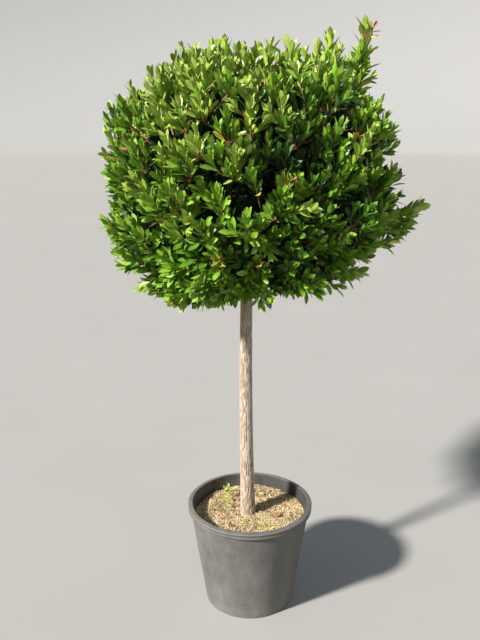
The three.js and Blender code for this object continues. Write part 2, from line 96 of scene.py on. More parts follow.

# Potting mix
SOIL_LEVEL = 0.312
SOIL_BUMP = 0.004
SOIL_WAVES = (0.031, 0.027, 0.017)  # lengths of its gentle bumps, each over 2 pi
SEAT_RADIUS = 0.042
SOIL_GAP = {"edge": 0.0006, "foot": 0.001}  # from the pot's wall
SOIL_TAPER_TOP = 0.002  # under the pot's top, higher than the wall's, so the mix narrows clear of it
SOIL_FOOT = 0.004
SOIL_SKIRT = 0.012  # from its surface down to where its wall starts
SOIL_RINGS = 64
SOIL_SIDES = 220
RING_BUNCHING = 0.9  # under 1, the rings lie closer in the middle
CLODS = (  # each a smooth noise that repeats after some columns
    {"width": 0.012, "shift": 40, "columns": 89, "seed": 3, "share": 1.0},
    {"width": 0.005, "shift": 90, "columns": 211, "seed": 4, "share": 0.5},
)
CLOD_HEIGHT = 0.005
CLOD_MIDDLE = 0.75
CRUMB = np.array([[1, 0, 0], [-1, 0, 0], [0, 1, 0], [0, -1, 0], [0, 0, 1], [0, 0, -1]], float)
CRUMB_FACES = np.array([
    [0, 2, 4], [2, 1, 4], [1, 3, 4], [3, 0, 4],
    [2, 0, 5], [1, 2, 5], [3, 1, 5], [0, 3, 5],
])
CRUMB_SORTS = (
    {"count": 6000, "shape": (1.0, 0.8, 0.65), "smallest": 0.0012, "largest": 0.0043},
    {"count": 900, "shape": (1.0, 0.42, 0.15), "smallest": 0.0038, "largest": 0.0085},
)
CRUMB_UNEVENNESS = 0.45
CRUMB_REACH = 0.985  # of the soil's radius
CRUMB_CLEARANCE = 0.003  # from the trunk
CRUMB_LIMIT = SOIL_LEVEL + 0.012
CRUMB_SEED = 11

# Trunk
TRUNK_FOOT = np.array([-0.006, 0.0, 0.3123])
TRUNK_TIP = np.array([-0.006, 0.0, 1.402])
TRUNK_SWAY = 0.008
TRUNK_RADIUS = 0.0234
TRUNK_NECK_RADIUS = 0.0188
TRUNK_NECK_HEIGHT = 1.060
TRUNK_TIP_RADIUS = 0.008
TRUNK_CLOSING = 0.3  # the last ring's share of the tip's radius
TRUNK_SUNK = 0.006  # of its length, that stands in the mix
FLARE = 0.003
FLARE_HEIGHT = 0.070
TRUNK_SIDES = 168
TRUNK_RINGS = 300
BARK_DEPTH = 0.0016
BOUGH_BARK_DEPTH = 0.00064
FISSURES = (  # how many stand round a limb, their length, their share of the space and their depth
    {"count": 21, "length": 0.016, "width": 0.66, "depth": 1.0},
    {"count": 36, "length": 0.010, "width": 0.60, "depth": 0.7},
)
FISSURE_DRIFT = {"swings": 5, "length": 0.09, "width": 1.6}
FISSURE_STAGGER = 0.37  # from one column of fissures to the next, of their length
FISSURE_SLOPE = 1.7
FISSURE_ENDS = {"from": 0.45, "over": 0.15}  # of the noise that opens and closes them
BARK_SEED = 20
BOUGH_SEED = 40

# Crown, masses and boughs: the same sizes as in the CAD source
CROWN_CENTRE = np.array([-0.002, 0.0, 1.420])
CROWN_HALF_WIDTH = 0.442
CROWN_RISE = 0.388
CROWN_DROP = 0.345
CROWN_SQUARENESS = 3
TOP_MASS = {"name": "top", "radius": 0.0, "height": 0.225, "azimuth": 0.0, "fork": None}
MASS_RINGS = (
    {"name": "upper", "count": 5, "radius": 0.270, "height": 0.095, "turn": 18, "fork": 1.290,
     "limb": 0.0065},
    {"name": "lower", "count": 5, "radius": 0.260, "height": -0.150, "turn": 54, "fork": 1.140,
     "limb": 0.008},
)
CORE_MIDDLE = 0.72
BOUGH_STAGGER = 0.022
BOUGH_TIP_RADIUS = 0.0045
BOUGH_REACH = 0.088
BOUGH_TIP_HEIGHT = 0.72
BOUGH_BEND = {"out": 0.4, "up": 0.65}
BOUGH_COLLAR = {"swell": 0.35, "length": 0.12}
BOUGH_SIDES = 28
BOUGH_RINGS = 30

# Twigs of the CAD source
TIP_COUNT = 78
TIP_SHARE = 0.82
TIP_SPREAD = 0.07
TIPS_PER_TWIG = 3
FORK_SHARE = 0.6
UPRIGHT_ABOVE = 1.750
UPRIGHT_RISE = 0.095
CAD_LEAF_REACH = 0.081
LONG_SHOOTS = (
    (0.318, -0.030, 1.881),
    (0.226, 0.040, 1.856),
    (0.105, -0.060, 1.829),
    (-0.085, 0.020, 1.835),
    (-0.159, -0.040, 1.812),
    (0.509, -0.060, 1.381),
    (0.401, -0.140, 1.351),
    (-0.345, -0.100, 1.128),
    (-0.255, -0.120, 1.088),
    (0.356, -0.040, 1.164),
)

# How wood grows
GROWTH_OUT = 0.7  # how much of its rise or fall a shoot's outward direction keeps
GROWTH_UP = (0.55, 2.4)  # how much shoots turn upwards, at the crown's underside and on top
GROWTH_BEND = 1.5  # the larger, the nearer to the top they do so
STEM_RADIUS = 0.0040
TWIG_RADIUS = 0.0026
TWIG_END_RADIUS = 0.0014
STALK_RADIUS = 0.00168
SHOOT_RADIUS = 0.0016
SHOOT_END_RADIUS = 0.0009
SIDES = {"twig": 5, "stalk": 4, "shoot": 3}
POINTS = {"stem": 9, "fork": 8, "twig": 12, "stalk": 7, "shoot": 6}
STEM_LEAD = 1 / 3  # how far a mass's stem keeps its bough's direction, of its length
FORK_SWAY = 0.012
TWIG_KNEE = 0.55
UPRIGHT_KNEE = 0.4
SIDE_SHOOT_RISE = 0.080  # the last stretch of a long side shoot, which turns upwards

# Sprays: a few shoots on one stalk
SPRAY_LAYERS = (  # how many, how far out, how unevenly, how many stand back, their shoots and leaves
    {"sprays": 400, "share": 0.93, "lump": 0.05, "spread": 0.045, "sunk": 0.36, "shoots": 4,
     "leaves": 16, "inner": False},
    {"sprays": 330, "share": 0.74, "lump": 0.03, "spread": 0.07, "sunk": 0.0, "shoots": 3,
     "leaves": 13, "inner": True},
    {"sprays": 140, "share": 0.52, "lump": 0.0, "spread": 0.08, "sunk": 0.0, "shoots": 3,
     "leaves": 11, "inner": True},
)
SWELLS = (  # where the crown swells or, under 0, is hollow: direction, share of the outline, half width
    ((-0.89, -0.23, -0.39), 0.10, 0.26),
    ((-0.60, -0.38, -0.74), 0.12, 0.20),
    ((0.66, -0.30, -0.70), -0.13, 0.26),
    ((0.42, -0.40, -0.82), -0.08, 0.16),
    ((-0.62, -0.10, 0.78), -0.06, 0.30),
    ((0.47, -0.71, 0.53), -0.18, 0.22),
    ((0.27, -0.93, -0.22), -0.15, 0.20),
    ((0.64, -0.76, 0.10), -0.20, 0.21),
    ((0.04, -0.98, 0.18), -0.15, 0.17),
    ((0.06, -0.84, 0.54), -0.12, 0.15),
    ((0.05, -0.90, -0.42), -0.11, 0.15),
    ((-0.55, -0.70, -0.42), -0.10, 0.14),
    ((-0.50, -0.60, 0.62), -0.08, 0.12),
    ((0.85, 0.20, 0.30), -0.12, 0.20),
    ((0.30, 0.93, 0.10), -0.12, 0.20),
    ((-0.60, 0.75, 0.30), -0.12, 0.18),
    ((-0.93, 0.15, 0.05), -0.06, 0.15),
    ((-0.30, 0.80, -0.50), -0.12, 0.18),
    ((0.70, 0.50, -0.45), -0.12, 0.18),
)
LUMPS = np.array([  # waves of gentle swells all over the crown: along x, y and z, and where they start
    (9.1, 0.0, 4.3, 0.7),
    (0.0, 8.3, -7.7, 1.9),
    (10.7, 10.7, 6.1, 0.0),
])
LOOSENESS = 0.045  # how far sprays stand off the even lattice
SUNK_DEPTH = 0.085  # how far back the sunk ones stand, as a share of the outline
UNDERSIDE_GAPS = 0.13  # how far back they may stand on the underside, as a share of the outline
TOP_RISE = 0.085  # how far they may stand over the outline on top
TOP_LIMIT = 1.799  # none of them ends higher
FEW_HIGH = 3.0  # the larger, the fewer of them stand far over it
SPRAY_LENGTH = 0.080
SPRAY_WIDTH = 0.026
WIDTH_SCATTER = (0.75, 1.25)
SHOOT_DROP = (0.015, 0.045)  # how much lower the outer shoots may end, below and on top
SHOOT_ROUNDING = 0.7  # how much lower they end anyway, as a share of how far they stand aside
SHOOT_BOW = (0.5, 0.45)  # where they bend, along and aside
SHOOT_TURN_SCATTER = 0.3
STALK_FACING = 1.7  # the smaller, the more a stalk is led from the inside outwards
STALK_BOW = {"share": 0.55, "drop": 0.2, "sway": 0.004}
COMPANIONS = {"side": 4, "upright": 2}  # sprays beside a long shoot
COMPANION_DROP = (0.030, 0.025)  # of the first one, and more for each next
COMPANION_DISTANCE = (0.012, 0.010)

# Leaves
LEAF_LENGTH = 0.044
LEAF_WIDTH = 0.35  # of its length
LEAF_REACH = 0.040  # from the end of a shoot to its leaves' tips
LEAF_ROWS = ((0.13, 0.08), (0.36, 0.36), (0.62, 0.5), (0.85, 0.34))  # along, half width
LEAF_FOLD = 0.28
LEAF_PITCH = 0.0040  # between the first leaves of a shoot
TOP_PITCH = 0.0050
LEAF_SLOWING = 0.00010  # how much wider apart each next leaf stands
FIRST_LEAF = 0.4  # how far from the tip, in pitches
LEAFY_SHARE = 0.95  # of the shoot
SPREAD = (10, 50)  # of the first and the last leaf from their shoot, in degrees
TOP_SPREAD = (8, 36)
LOW_SPREAD = (16, 62)
LONG_SHOOT_SPREAD = (22, 50)
SPREAD_BEND = 0.8
LOW_SIZE = 1.13
TIP_LEAF_SIZE = 0.7
TIP_LEAF_GAIN = 0.08  # in size, for each next leaf until they are full
LEAF_SCATTER = {"turn": 0.15, "spread": 7, "roll": 0.25, "size": (0.78, 1.16), "width": (0.88, 1.12),
                "curl": (-0.25, 0.30)}
YELLOW_SHARE = 0.012
YELLOW_AFTER = 3  # the last leaf that never is, counted from 0 at the tip
LONG_SHOOT_LEAVES = 38
LONG_SHOOT_SIZE = 1.38
CROWN_SEED = 7

# Dead shoots, fallen leaves and seedlings
DEAD_SHOOTS = (
    (-0.36, -0.27, 1.60),
    (-0.03, -0.17, 1.75),
    (0.10, -0.17, 1.74),
    (0.05, -0.40, 1.50),
    (-0.13, -0.38, 1.25),
    (0.02, -0.36, 1.22),
)
DEAD_SPUR = np.array([  # on the tallest shoot
    (0.316, -0.034, 1.785),
    (0.323, -0.062, 1.820),
    (0.334, -0.068, 1.852),
])
DEAD_LEAVES = 9
DEAD_SIZE = 0.7
DEAD_SPREAD = (25, 70)
FALLEN_LEAVES = (  # tint, x, y, size
    ("yellow", 0.049, -0.082, 0.85),
    ("seedling", 0.055, -0.086, 0.80),
    ("yellow", 0.062, -0.110, 0.40),
    ("rust", 0.085, -0.045, 0.7),
    ("rust", -0.065, -0.118, 0.6),
    ("yellow", 0.052, 0.105, 0.45),
    ("rust", -0.135, 0.02, 0.55),
    ("rust", 0.13, 0.055, 0.5),
)
FALLEN = {"height": 0.004, "rise": 0.12, "tilt": 0.2, "spread": 86}
SEEDLINGS = (  # x, y, height
    (-0.084, -0.005, 0.022),
    (-0.079, 0.022, 0.034),
    (-0.073, 0.047, 0.038),
    (-0.081, 0.070, 0.040),
    (-0.074, 0.093, 0.044),
    (-0.069, 0.110, 0.036),
    (-0.088, 0.118, 0.030),
    (0.070, -0.092, 0.012),
    (0.040, -0.100, 0.010),
)
SEEDLING_LEAVES = 8
SEEDLING_SIZE = 0.44
SEEDLING_SPREAD = (30, 75)
SEEDLING_SWAY = 0.003

# Leaf tints: how a spray gets its own, and their colours. Darker tints on the right, in hollows and inside
# the crown are painted shade, and lighter ones on top and below partly painted light.
# lighter tints: on top partly for young growth and partly as painted light, below as painted light
LIGHTER = {"everywhere": 0.08, "on top and below": 0.34, "young on top": 0.5}
# darker tints as painted shade: on the right, the side away from the key, and in hollows
PAINTED_SHADE = {"on the right": 0.34, "in hollows": 7.5}
HOLLOW_UNDER = 0.87  # of the outline
TINT_LOTS = (  # a spray draws a lot and takes the first tints whose number it passes, from its tip down
    (0.86, ("young", "young", "fresh", "young", "fresh", "mid")),
    (0.60, ("fresh", "fresh", "mid", "fresh")),
    (0.15, ("fresh", "fresh", "mid", "mid", "deep")),
    (-0.15, ("mid", "deep")),
)
# the darkest tints: painted shade for sprays inside the crown, in hollows and on the right
DARK_TINTS = ("deep", "shade")
INNER_TINTS = ("shade",)
INNER_DARK_SHARE = 0.5
# light tints for long shoots and the sprays beside them: partly young growth, partly painted light where they
# catch the key
LONG_SHOOT_TINTS = ("young", "fresh", "fresh", "mid")
# young is paled and blued beyond its own fresh green as a painted sheen; deep and shade are darkened as
# painted shade for the crown's inside and hollows
LEAF_TINTS = (  # name, blade, midrib, roughness
    ("young", (0.30, 0.43, 0.062), (0.48, 0.55, 0.15), 0.33),
    ("fresh", (0.160, 0.325, 0.018), (0.36, 0.46, 0.08), 0.34),
    ("mid", (0.080, 0.205, 0.011), (0.22, 0.34, 0.055), 0.37),
    ("deep", (0.028, 0.086, 0.010), (0.11, 0.20, 0.045), 0.38),
    ("shade", (0.012, 0.032, 0.006), (0.04, 0.07, 0.02), 0.42),
    ("seedling", (0.30, 0.36, 0.05), (0.42, 0.46, 0.12), 0.5),
    ("yellow", (0.62, 0.55, 0.08), (0.70, 0.62, 0.25), 0.4),
    ("rust", (0.34, 0.13, 0.045), (0.42, 0.22, 0.10), 0.6),
)
MOTTLE = 0.72  # how dark a blade's spots are, of its colour

# Other colours, in pairs where a paint varies between two
PLASTIC_FADED = ((0.060, 0.059, 0.057), (0.088, 0.086, 0.082))
PLASTIC_SHADED_INSIDE = ((0.035, 0.034, 0.033), (0.075, 0.072, 0.066))
PLASTIC_DUSTY = (0.22, 0.21, 0.192)
PLASTIC_WORN_AND_HIGHLIT = (0.27, 0.265, 0.255)
PLASTIC_SCRATCHED = (0.27, 0.255, 0.23)
PLASTIC_GRAIN = (0.05, 0.048, 0.045)
DUST = {"everywhere": 0.1, "cloud": 0.34, "smudge": 0.30, "streak": 0.28, "low": 0.2, "foot": 0.25}
DUST_HEIGHTS = {"low": (0.01, 0.16), "foot": (0.035, 0.06)}
WORN_AND_HIGHLIT_EDGE = {  # heights over which the wear and the painted highlight of the lip's edge set in and end
    "start": (POT_HEIGHT - 0.0090, POT_HEIGHT - 0.0065),
    "end": (POT_HEIGHT - 0.0050, POT_HEIGHT - 0.0030),
}
MIX_BROWNS = ((0.10, 0.070, 0.038), (0.38, 0.29, 0.165))
CRUMB_KINDS = (  # share of all crumbs, browns
    ("crumbs_tan", 0.50, ((0.30, 0.22, 0.115), (0.56, 0.44, 0.25))),
    ("crumbs_dark", 0.26, ((0.060, 0.040, 0.023), (0.19, 0.13, 0.075))),
    ("crumbs_pale", 0.22, ((0.42, 0.35, 0.22), (0.62, 0.54, 0.38))),
)
BARK_PALE = ((0.375, 0.31, 0.24), (0.405, 0.345, 0.275))
BARK_WARM = (0.24, 0.175, 0.12)
BARK_DARK_AND_SHADED = (0.145, 0.10, 0.068)
TWIG_BROWNS = ((0.20, 0.10, 0.05), (0.30, 0.19, 0.12))
TWIG_REDS = ((0.40, 0.11, 0.045), (0.46, 0.22, 0.09))
FLOOR_GREYS = ((0.26, 0.26, 0.257), (0.28, 0.28, 0.277))
WALL_GREY = (0.09, 0.09, 0.09)
WALL_GLOW = (0.42, 0.415, 0.405)
NO_GLOW = (0.0, 0.0, 0.0)


def mix(first, last, share):
    return first + (last - first) * share


def unit(vector):
    return vector / max(np.linalg.norm(vector), TINY)


def chance(seed, index):
    """A number from 0 to 1 that is always the same for the same two numbers."""
    wave = math.sin(seed * CHANCE["seed"] + index * CHANCE["index"]) * CHANCE["stretch"]
    return wave - math.floor(wave)


def smooth_noise(across, along, columns, seed):
    """Smooth noise from 0 to 1 on a grid of cells that closes on itself after some columns."""
    table = np.random.default_rng(seed).random((NOISE_ROWS, columns))
    column, row = np.floor(across).astype(int), np.floor(along).astype(int)
    x, y = across - column, along - row
    x, y = x * x * (3 - 2 * x), y * y * (3 - 2 * y)
    left, right = column % columns, (column + 1) % columns
    this_row, next_row = row % NOISE_ROWS, (row + 1) % NOISE_ROWS
    low = mix(table[this_row, left], table[this_row, right], x)
    high = mix(table[next_row, left], table[next_row, right], x)
    return mix(low, high, y)


# Shader sums and materials


class Wire:
    """A socket in a material. A sum on it adds its Math node."""

    def __init__(self, paint, socket):
        self.paint = paint
        self.socket = socket

    def math(self, operation, first, second=0.0):
        return self.paint.node("ShaderNodeMath", {"operation": operation}, {0: first, 1: second})

    def __add__(self, other):
        return self.math("ADD", self, other)

    def __radd__(self, other):
        return self.math("ADD", other, self)

    def __sub__(self, other):
        return self.math("SUBTRACT", self, other)

    def __rsub__(self, other):
        return self.math("SUBTRACT", other, self)

    def __mul__(self, other):
        return self.math("MULTIPLY", self, other)

    def __rmul__(self, other):
        return self.math("MULTIPLY", other, self)

    def __abs__(self):
        return self.math("ABSOLUTE", self)

    def fraction(self):
        return self.math("FRACT", self)

    def between(self, low, high):
        """0 where this is at or under low, 1 at or over high, smooth between."""
        limits = {"From Min": low, "From Max": high}
        settings = {"interpolation_type": "SMOOTHSTEP", "clamp": True}
        return self.paint.node("ShaderNodeMapRange", settings, {"Value": self, **limits})


class Paint:
    """A material under construction, on one Principled shader."""

    def __init__(self, name, **constants):
        self.material = bpy.data.materials.new(name)
        self.material.use_nodes = True
        self.tree = self.material.node_tree
        self.shader = self.tree.nodes["Principled BSDF"]
        for socket, value in constants.items():
            self.shader.inputs[socket.replace("_", " ")].default_value = value

    def node(self, kind, settings=None, sockets=None, output=0):
        made = self.tree.nodes.new(kind)
        for name, value in (settings or {}).items():
            setattr(made, name, value)
        for name, value in (sockets or {}).items():
            self.plug(made.inputs[name], value)
        return Wire(self, made.outputs[output])

    def plug(self, socket, value):
        if isinstance(value, Wire):
            self.tree.links.new(value.socket, socket)
        else:
            socket.default_value = value

    def feed(self, socket, value):
        self.plug(self.shader.inputs[socket], value)

    def place(self, stretch=(1, 1, 1)):
        """Places on the piece in metres, stretched."""
        place = self.node("ShaderNodeTexCoord", output=3)
        return self.node("ShaderNodeVectorMath", {"operation": "MULTIPLY"}, {0: place, 1: stretch})

    def noise(self, scale, detail=3.0, roughness=0.5, stretch=(1, 1, 1)):
        sockets = {"Vector": self.place(stretch), "Scale": scale, "Detail": detail, "Roughness": roughness}
        return self.node("ShaderNodeTexNoise", None, sockets)

    def exposure(self):
        """1 on what stands outermost and 0 deep inside, as the mesh was given it."""
        return self.node("ShaderNodeAttribute", {"attribute_name": "exposure"}, output=2)

    def blend(self, share, first, second):
        """A colour between two colours."""
        sockets = {0: share, 6: colour(first), 7: colour(second)}
        return self.node("ShaderNodeMix", {"data_type": "RGBA"}, sockets, output=2)

    def part(self, vector, index):
        return self.node("ShaderNodeSeparateXYZ", None, {0: vector}, output=index)

    def relief(self, height, distance, strength=1.0):
        sockets = {"Height": height, "Distance": distance, "Strength": strength}
        self.feed("Normal", self.node("ShaderNodeBump", None, sockets))


def colour(value):
    return value if isinstance(value, Wire) else (*value, 1.0)


def pot_paint():
    """Black nursery plastic, greyed outside by the sun and by dust that lies thicker low down, with a painted
    highlight on the lip's worn edge; inside, dark and dustless as painted shade.
    """
    paint = Paint("pot_plastic", Specular_IOR_Level=0.45)
    height = paint.part(paint.place(), 2)
    cloud = paint.noise(scale=9, detail=5, roughness=0.6)
    smudge = paint.noise(scale=38, detail=5, roughness=0.65, stretch=(1, 1, 0.6))
    streak = paint.noise(scale=26, detail=4, roughness=0.6, stretch=(1, 1, 0.12))
    grain = paint.noise(scale=420, detail=2)
    scratch = paint.noise(scale=60, detail=2, stretch=(1, 1, 7)).between(0.64, 0.70)
    low = 1 - height.between(*DUST_HEIGHTS["low"])
    foot = 1 - (height + cloud * 0.03).between(*DUST_HEIGHTS["foot"])
    dust = cloud.between(0.30, 0.75) * DUST["cloud"] + smudge.between(0.40, 0.70) * DUST["smudge"]
    dust = dust + DUST["everywhere"] + streak.between(0.45, 0.75) * DUST["streak"]
    dust = dust + low * DUST["low"] + foot * DUST["foot"]
    # a lighter line along the lip's outer edge: partly wear, partly a painted highlight
    edge = height.between(*WORN_AND_HIGHLIT_EDGE["start"]) - height.between(*WORN_AND_HIGHLIT_EDGE["end"])
    faded = paint.blend(cloud, *PLASTIC_FADED)
    dusty = paint.blend(dust * 0.52, faded, PLASTIC_DUSTY)
    worn_and_highlit = paint.blend(edge * 0.5, dusty, PLASTIC_WORN_AND_HIGHLIT)
    scuffed = paint.blend(scratch * 0.35, worn_and_highlit, PLASTIC_SCRATCHED)
    outside = paint.blend(grain.between(0.3, 0.8) * 0.25, scuffed, PLASTIC_GRAIN)
    # the inside is kept dark and without dust, as painted shade
    inside = paint.blend(cloud.between(0.4, 0.7), *PLASTIC_SHADED_INSIDE)
    paint.feed("Base Color", paint.blend(paint.exposure(), inside, outside))
    paint.feed("Roughness", 0.42 + dust * 0.3 + grain * 0.08)
    paint.relief(grain * 0.6 + scratch * -0.5 + cloud * 0.6, distance=0.0006, strength=0.5)
    return paint.material


def soil_paint(name, browns):
    """Dry fibre and crumbs in two browns."""
    paint = Paint(name, Specular_IOR_Level=0.2)
    patch = paint.noise(scale=17, detail=3, roughness=0.6)
    coarse = paint.noise(scale=95, detail=5, roughness=0.65)
    fine = paint.noise(scale=600, detail=3, roughness=0.6)
    speckle = (coarse * 0.6 + fine * 0.5 + patch * 0.6 - 0.3).between(0.28, 0.77)
    paint.feed("Base Color", paint.blend(speckle, *browns))
    paint.feed("Roughness", 0.85 + fine * 0.15)
    paint.relief(coarse + fine * 0.5, distance=0.002, strength=0.8)
    return paint.material


def bark_paint():
    """Grey-brown bark: the ridges pale and dry, the fissures between them dark, partly in the bark's own
    colour and partly as painted shade.
    """
    paint = Paint("bark", Specular_IOR_Level=0.25)
    patch = paint.noise(scale=24, detail=4, roughness=0.6, stretch=(1, 1, 0.35))
    fibre = paint.noise(scale=520, detail=4, roughness=0.6, stretch=(1, 1, 0.09))
    # the fissures are darkened partly for the bark's own darker colour there and partly as painted shade
    fissure = 1 - paint.exposure().between(0.0, 0.9)
    pale = paint.blend(patch.between(0.3, 0.7), *BARK_PALE)
    warm = paint.blend(fibre.between(0.35, 0.7) * 0.4, pale, BARK_WARM)
    paint.feed("Base Color", paint.blend(fissure * 0.86, warm, BARK_DARK_AND_SHADED))
    paint.feed("Roughness", 0.82 + fibre * 0.15)
    paint.relief(fibre + patch * 0.5, distance=0.0012, strength=0.7)
    return paint.material


def twig_paint(name, young, old):
    """Thin bark in two colours, finely grained."""
    paint = Paint(name, Specular_IOR_Level=0.4)
    spot = paint.noise(scale=70)
    fine = paint.noise(scale=700, detail=2)
    paint.feed("Base Color", paint.blend(spot.between(0.35, 0.65), young, old))
    paint.feed("Roughness", 0.5 + fine * 0.25)
    paint.relief(fine, distance=0.0004, strength=0.6)
    return paint.material


def leaf_paint(name, blade, rib, roughness):
    """A waxy leaf: a pale midrib and side veins on a blade of one colour."""
    paint = Paint(name, Specular_IOR_Level=0.5)
    chart = paint.node("ShaderNodeTexCoord", output=2)
    along, across = paint.part(chart, 0), abs(paint.part(chart, 1) - 0.5)
    midrib = 1 - across.between(0.0, 0.07)
    edge = across.between(0.4, 0.5)
    slant = (along - across * 0.5) * 11
    vein = 1 - abs(slant.fraction() - 0.5).between(0.0, 0.12)
    side_vein = vein * (1 - across.between(0.35, 0.5))
    mottle = paint.noise(scale=60, detail=2)
    spots = tuple(channel * MOTTLE for channel in blade)
    body = paint.blend(mottle.between(0.35, 0.65), spots, blade)
    veined = paint.blend(side_vein * 0.18, body, rib)
    paint.feed("Base Color", paint.blend(midrib * 0.55 + edge * 0.12, veined, rib))
    paint.feed("Roughness", roughness + mottle * 0.12)
    paint.relief(midrib * -1 + side_vein * -0.35, distance=0.0006, strength=0.5)
    return paint.material


def stage_paint():
    """Plain pale studio floor. Its wall glows a little, to be as pale on the side away from the key."""
    paint = Paint("studio_grey", Roughness=0.8, Specular_IOR_Level=0.2, Emission_Strength=1.0)
    wall = paint.part(paint.place(), 2).between(0.0, WALL_STARTS * STAGE_CURVE)
    floor = paint.blend(paint.noise(scale=1.5, detail=2), *FLOOR_GREYS)
    paint.feed("Base Color", paint.blend(wall, floor, WALL_GREY))
    paint.feed("Emission Color", paint.blend(wall, NO_GLOW, WALL_GLOW))
    return paint.material


# Meshes


class Batch:
    """Many small shapes that become one mesh."""

    def __init__(self):
        self.corners, self.faces, self.charts, self.values = [], [], [], []
        self.count = 0

    def add(self, corners, faces, charts=None, values=None):
        """Adds corners, and faces that number them from 0. Charts are places on the leaf's own map."""
        self.corners.append(corners)
        self.faces.append(np.asarray(faces) + self.count)
        self.charts.append(charts)
        self.values.append(values)
        self.count += len(corners)

    def piece(self, name, material, slot, nodes=(), smooth=True):
        corners, faces = np.concatenate(self.corners), np.concatenate(self.faces)
        mesh = bpy.data.meshes.new(name)
        mesh.from_pydata(corners.tolist(), [], faces.tolist())
        if self.charts[0] is not None:
            layer = mesh.uv_layers.new(name="leaf")
            numbers = np.zeros(len(mesh.loops), int)
            mesh.loops.foreach_get("vertex_index", numbers)
            layer.data.foreach_set("uv", np.concatenate(self.charts)[numbers].ravel().astype(np.float32))
        if self.values[0] is not None:
            attribute = mesh.attributes.new("exposure", "FLOAT", "POINT")
            attribute.data.foreach_set("value", np.concatenate(self.values).astype(np.float32))
        mesh.polygons.foreach_set("use_smooth", np.full(len(mesh.polygons), smooth))
        mesh.materials.append(material)
        piece = bpy.data.objects.new(name, mesh)
        bpy.context.scene.collection.objects.link(piece)
        if slot:
            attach(piece, "root")
        if nodes:
            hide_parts(*nodes)
        return piece


def ring_faces(rings, sides):
    """Faces of a skin of closed rings, each of some sides."""
    low = np.arange((rings - 1) * sides).reshape(rings - 1, sides)
    right = np.roll(low, -1, axis=1)
    return np.stack([low, right, right + sides, low + sides], axis=-1).reshape(-1, 4)


def lathe(outline, sides):
    """Corners of an outline of (radius, height), turned round the Z axis."""
    turns = np.arange(sides) * 2 * math.pi / sides
    radius, height = np.asarray(outline).T[:, :, None]
    corners = [radius * np.cos(turns), radius * np.sin(turns), height + 0 * turns]
    return np.stack(corners, axis=-1).reshape(-1, 3)


def lengths_along(points):
    """How far along a line each of its points lies."""
    return np.concatenate([[0], np.cumsum(np.linalg.norm(np.diff(points, axis=0), axis=1))])


def frames_along(points):
    """The direction of a line at each of its points, and two directions across it."""
    tangents = np.gradient(points, axis=0)
    tangents /= np.linalg.norm(tangents, axis=1)[:, None]
    reference = np.eye(3)[np.argmin(np.abs(tangents).sum(axis=0))]
    across = np.cross(tangents, reference)
    across /= np.linalg.norm(across, axis=1)[:, None]
    return tangents, across, np.cross(tangents, across)


def tube(points, radii, sides):
    """Corners of a round limb along points, with a radius at each, or a row of radii at each."""
    _, across, along = frames_along(points)
    turns = np.arange(sides) * 2 * math.pi / sides
    rim = np.cos(turns)[:, None] * across[:, None] + np.sin(turns)[:, None] * along[:, None]
    radii = np.asarray(radii).reshape(len(points), -1, 1)
    return (points[:, None] + rim * radii).reshape(-1, 3)


def bend(start, knee, end, count):
    """Points on a smooth bend from start to end, drawn towards a knee."""
    share = np.linspace(0, 1, count)[:, None]
    return (1 - share) ** 2 * start + 2 * share * (1 - share) * knee + share ** 2 * end


def arc(centre, radius, first, last, count=6):
    """Points of a rounded edge in the outline, from one angle to another, in degrees."""
    turns = np.radians(np.linspace(first, last, count))
    return [(centre[0] + radius * math.cos(turn), centre[1] + radius * math.sin(turn)) for turn in turns]


def steps(start, end, count):
    """Points between two, which aren't among them."""
    return [(mix(start[0], end[0], i / count), mix(start[1], end[1], i / count)) for i in range(1, count)]


# Pot


def pot_outline():
    """The tub's wall from the middle of its underside, up the outside, over the lip and down inside."""
    band_foot = POT_HEIGHT - RIM_BAND
    band_radius = RIM_RADIUS - BAND_INSET
    lip_edge = POT_HEIGHT - LIP_FALL
    inside = RIM_RADIUS - LIP_WIDTH
    inner_foot = (BODY_FOOT_RADIUS - POT_WALL, POT_WALL)
    corner = BAND_CORNER["radius"]
    return [
        (CENTRE_RADIUS, 0.0),
        (BODY_FOOT_RADIUS / 2, 0.0),
        *arc((BODY_FOOT_RADIUS - FOOT_EDGE, FOOT_EDGE), FOOT_EDGE, -90, -10, 5),
        *steps((BODY_FOOT_RADIUS, WALL_ENDS), (BODY_TOP_RADIUS, band_foot - WALL_ENDS), POT_ROWS["outside"]),
        *arc((BODY_TOP_RADIUS + corner, band_foot - BAND_CORNER["drop"]), corner, 180, 90, 4),
        *arc((RIM_RADIUS - BEAD_INSET - BEAD_EDGE, band_foot + BEAD_EDGE), BEAD_EDGE, -90, 0, 4),
        (band_radius, band_foot + BAND_BEAD),
        (band_radius, lip_edge - LIP_UNDERCUT * LIP_EDGE),
        *arc((RIM_RADIUS - LIP_EDGE, lip_edge - LIP_EDGE), LIP_EDGE, -60, 70, 8),
        *arc((inside + LIP_INNER_EDGE, POT_HEIGHT - LIP_INNER_EDGE), LIP_INNER_EDGE, 80, 180),
        *steps((inside, POT_HEIGHT - INNER_WALL_TOP), inner_foot, POT_ROWS["inside"]),
        inner_foot,
        (CENTRE_RADIUS, POT_WALL),
    ]


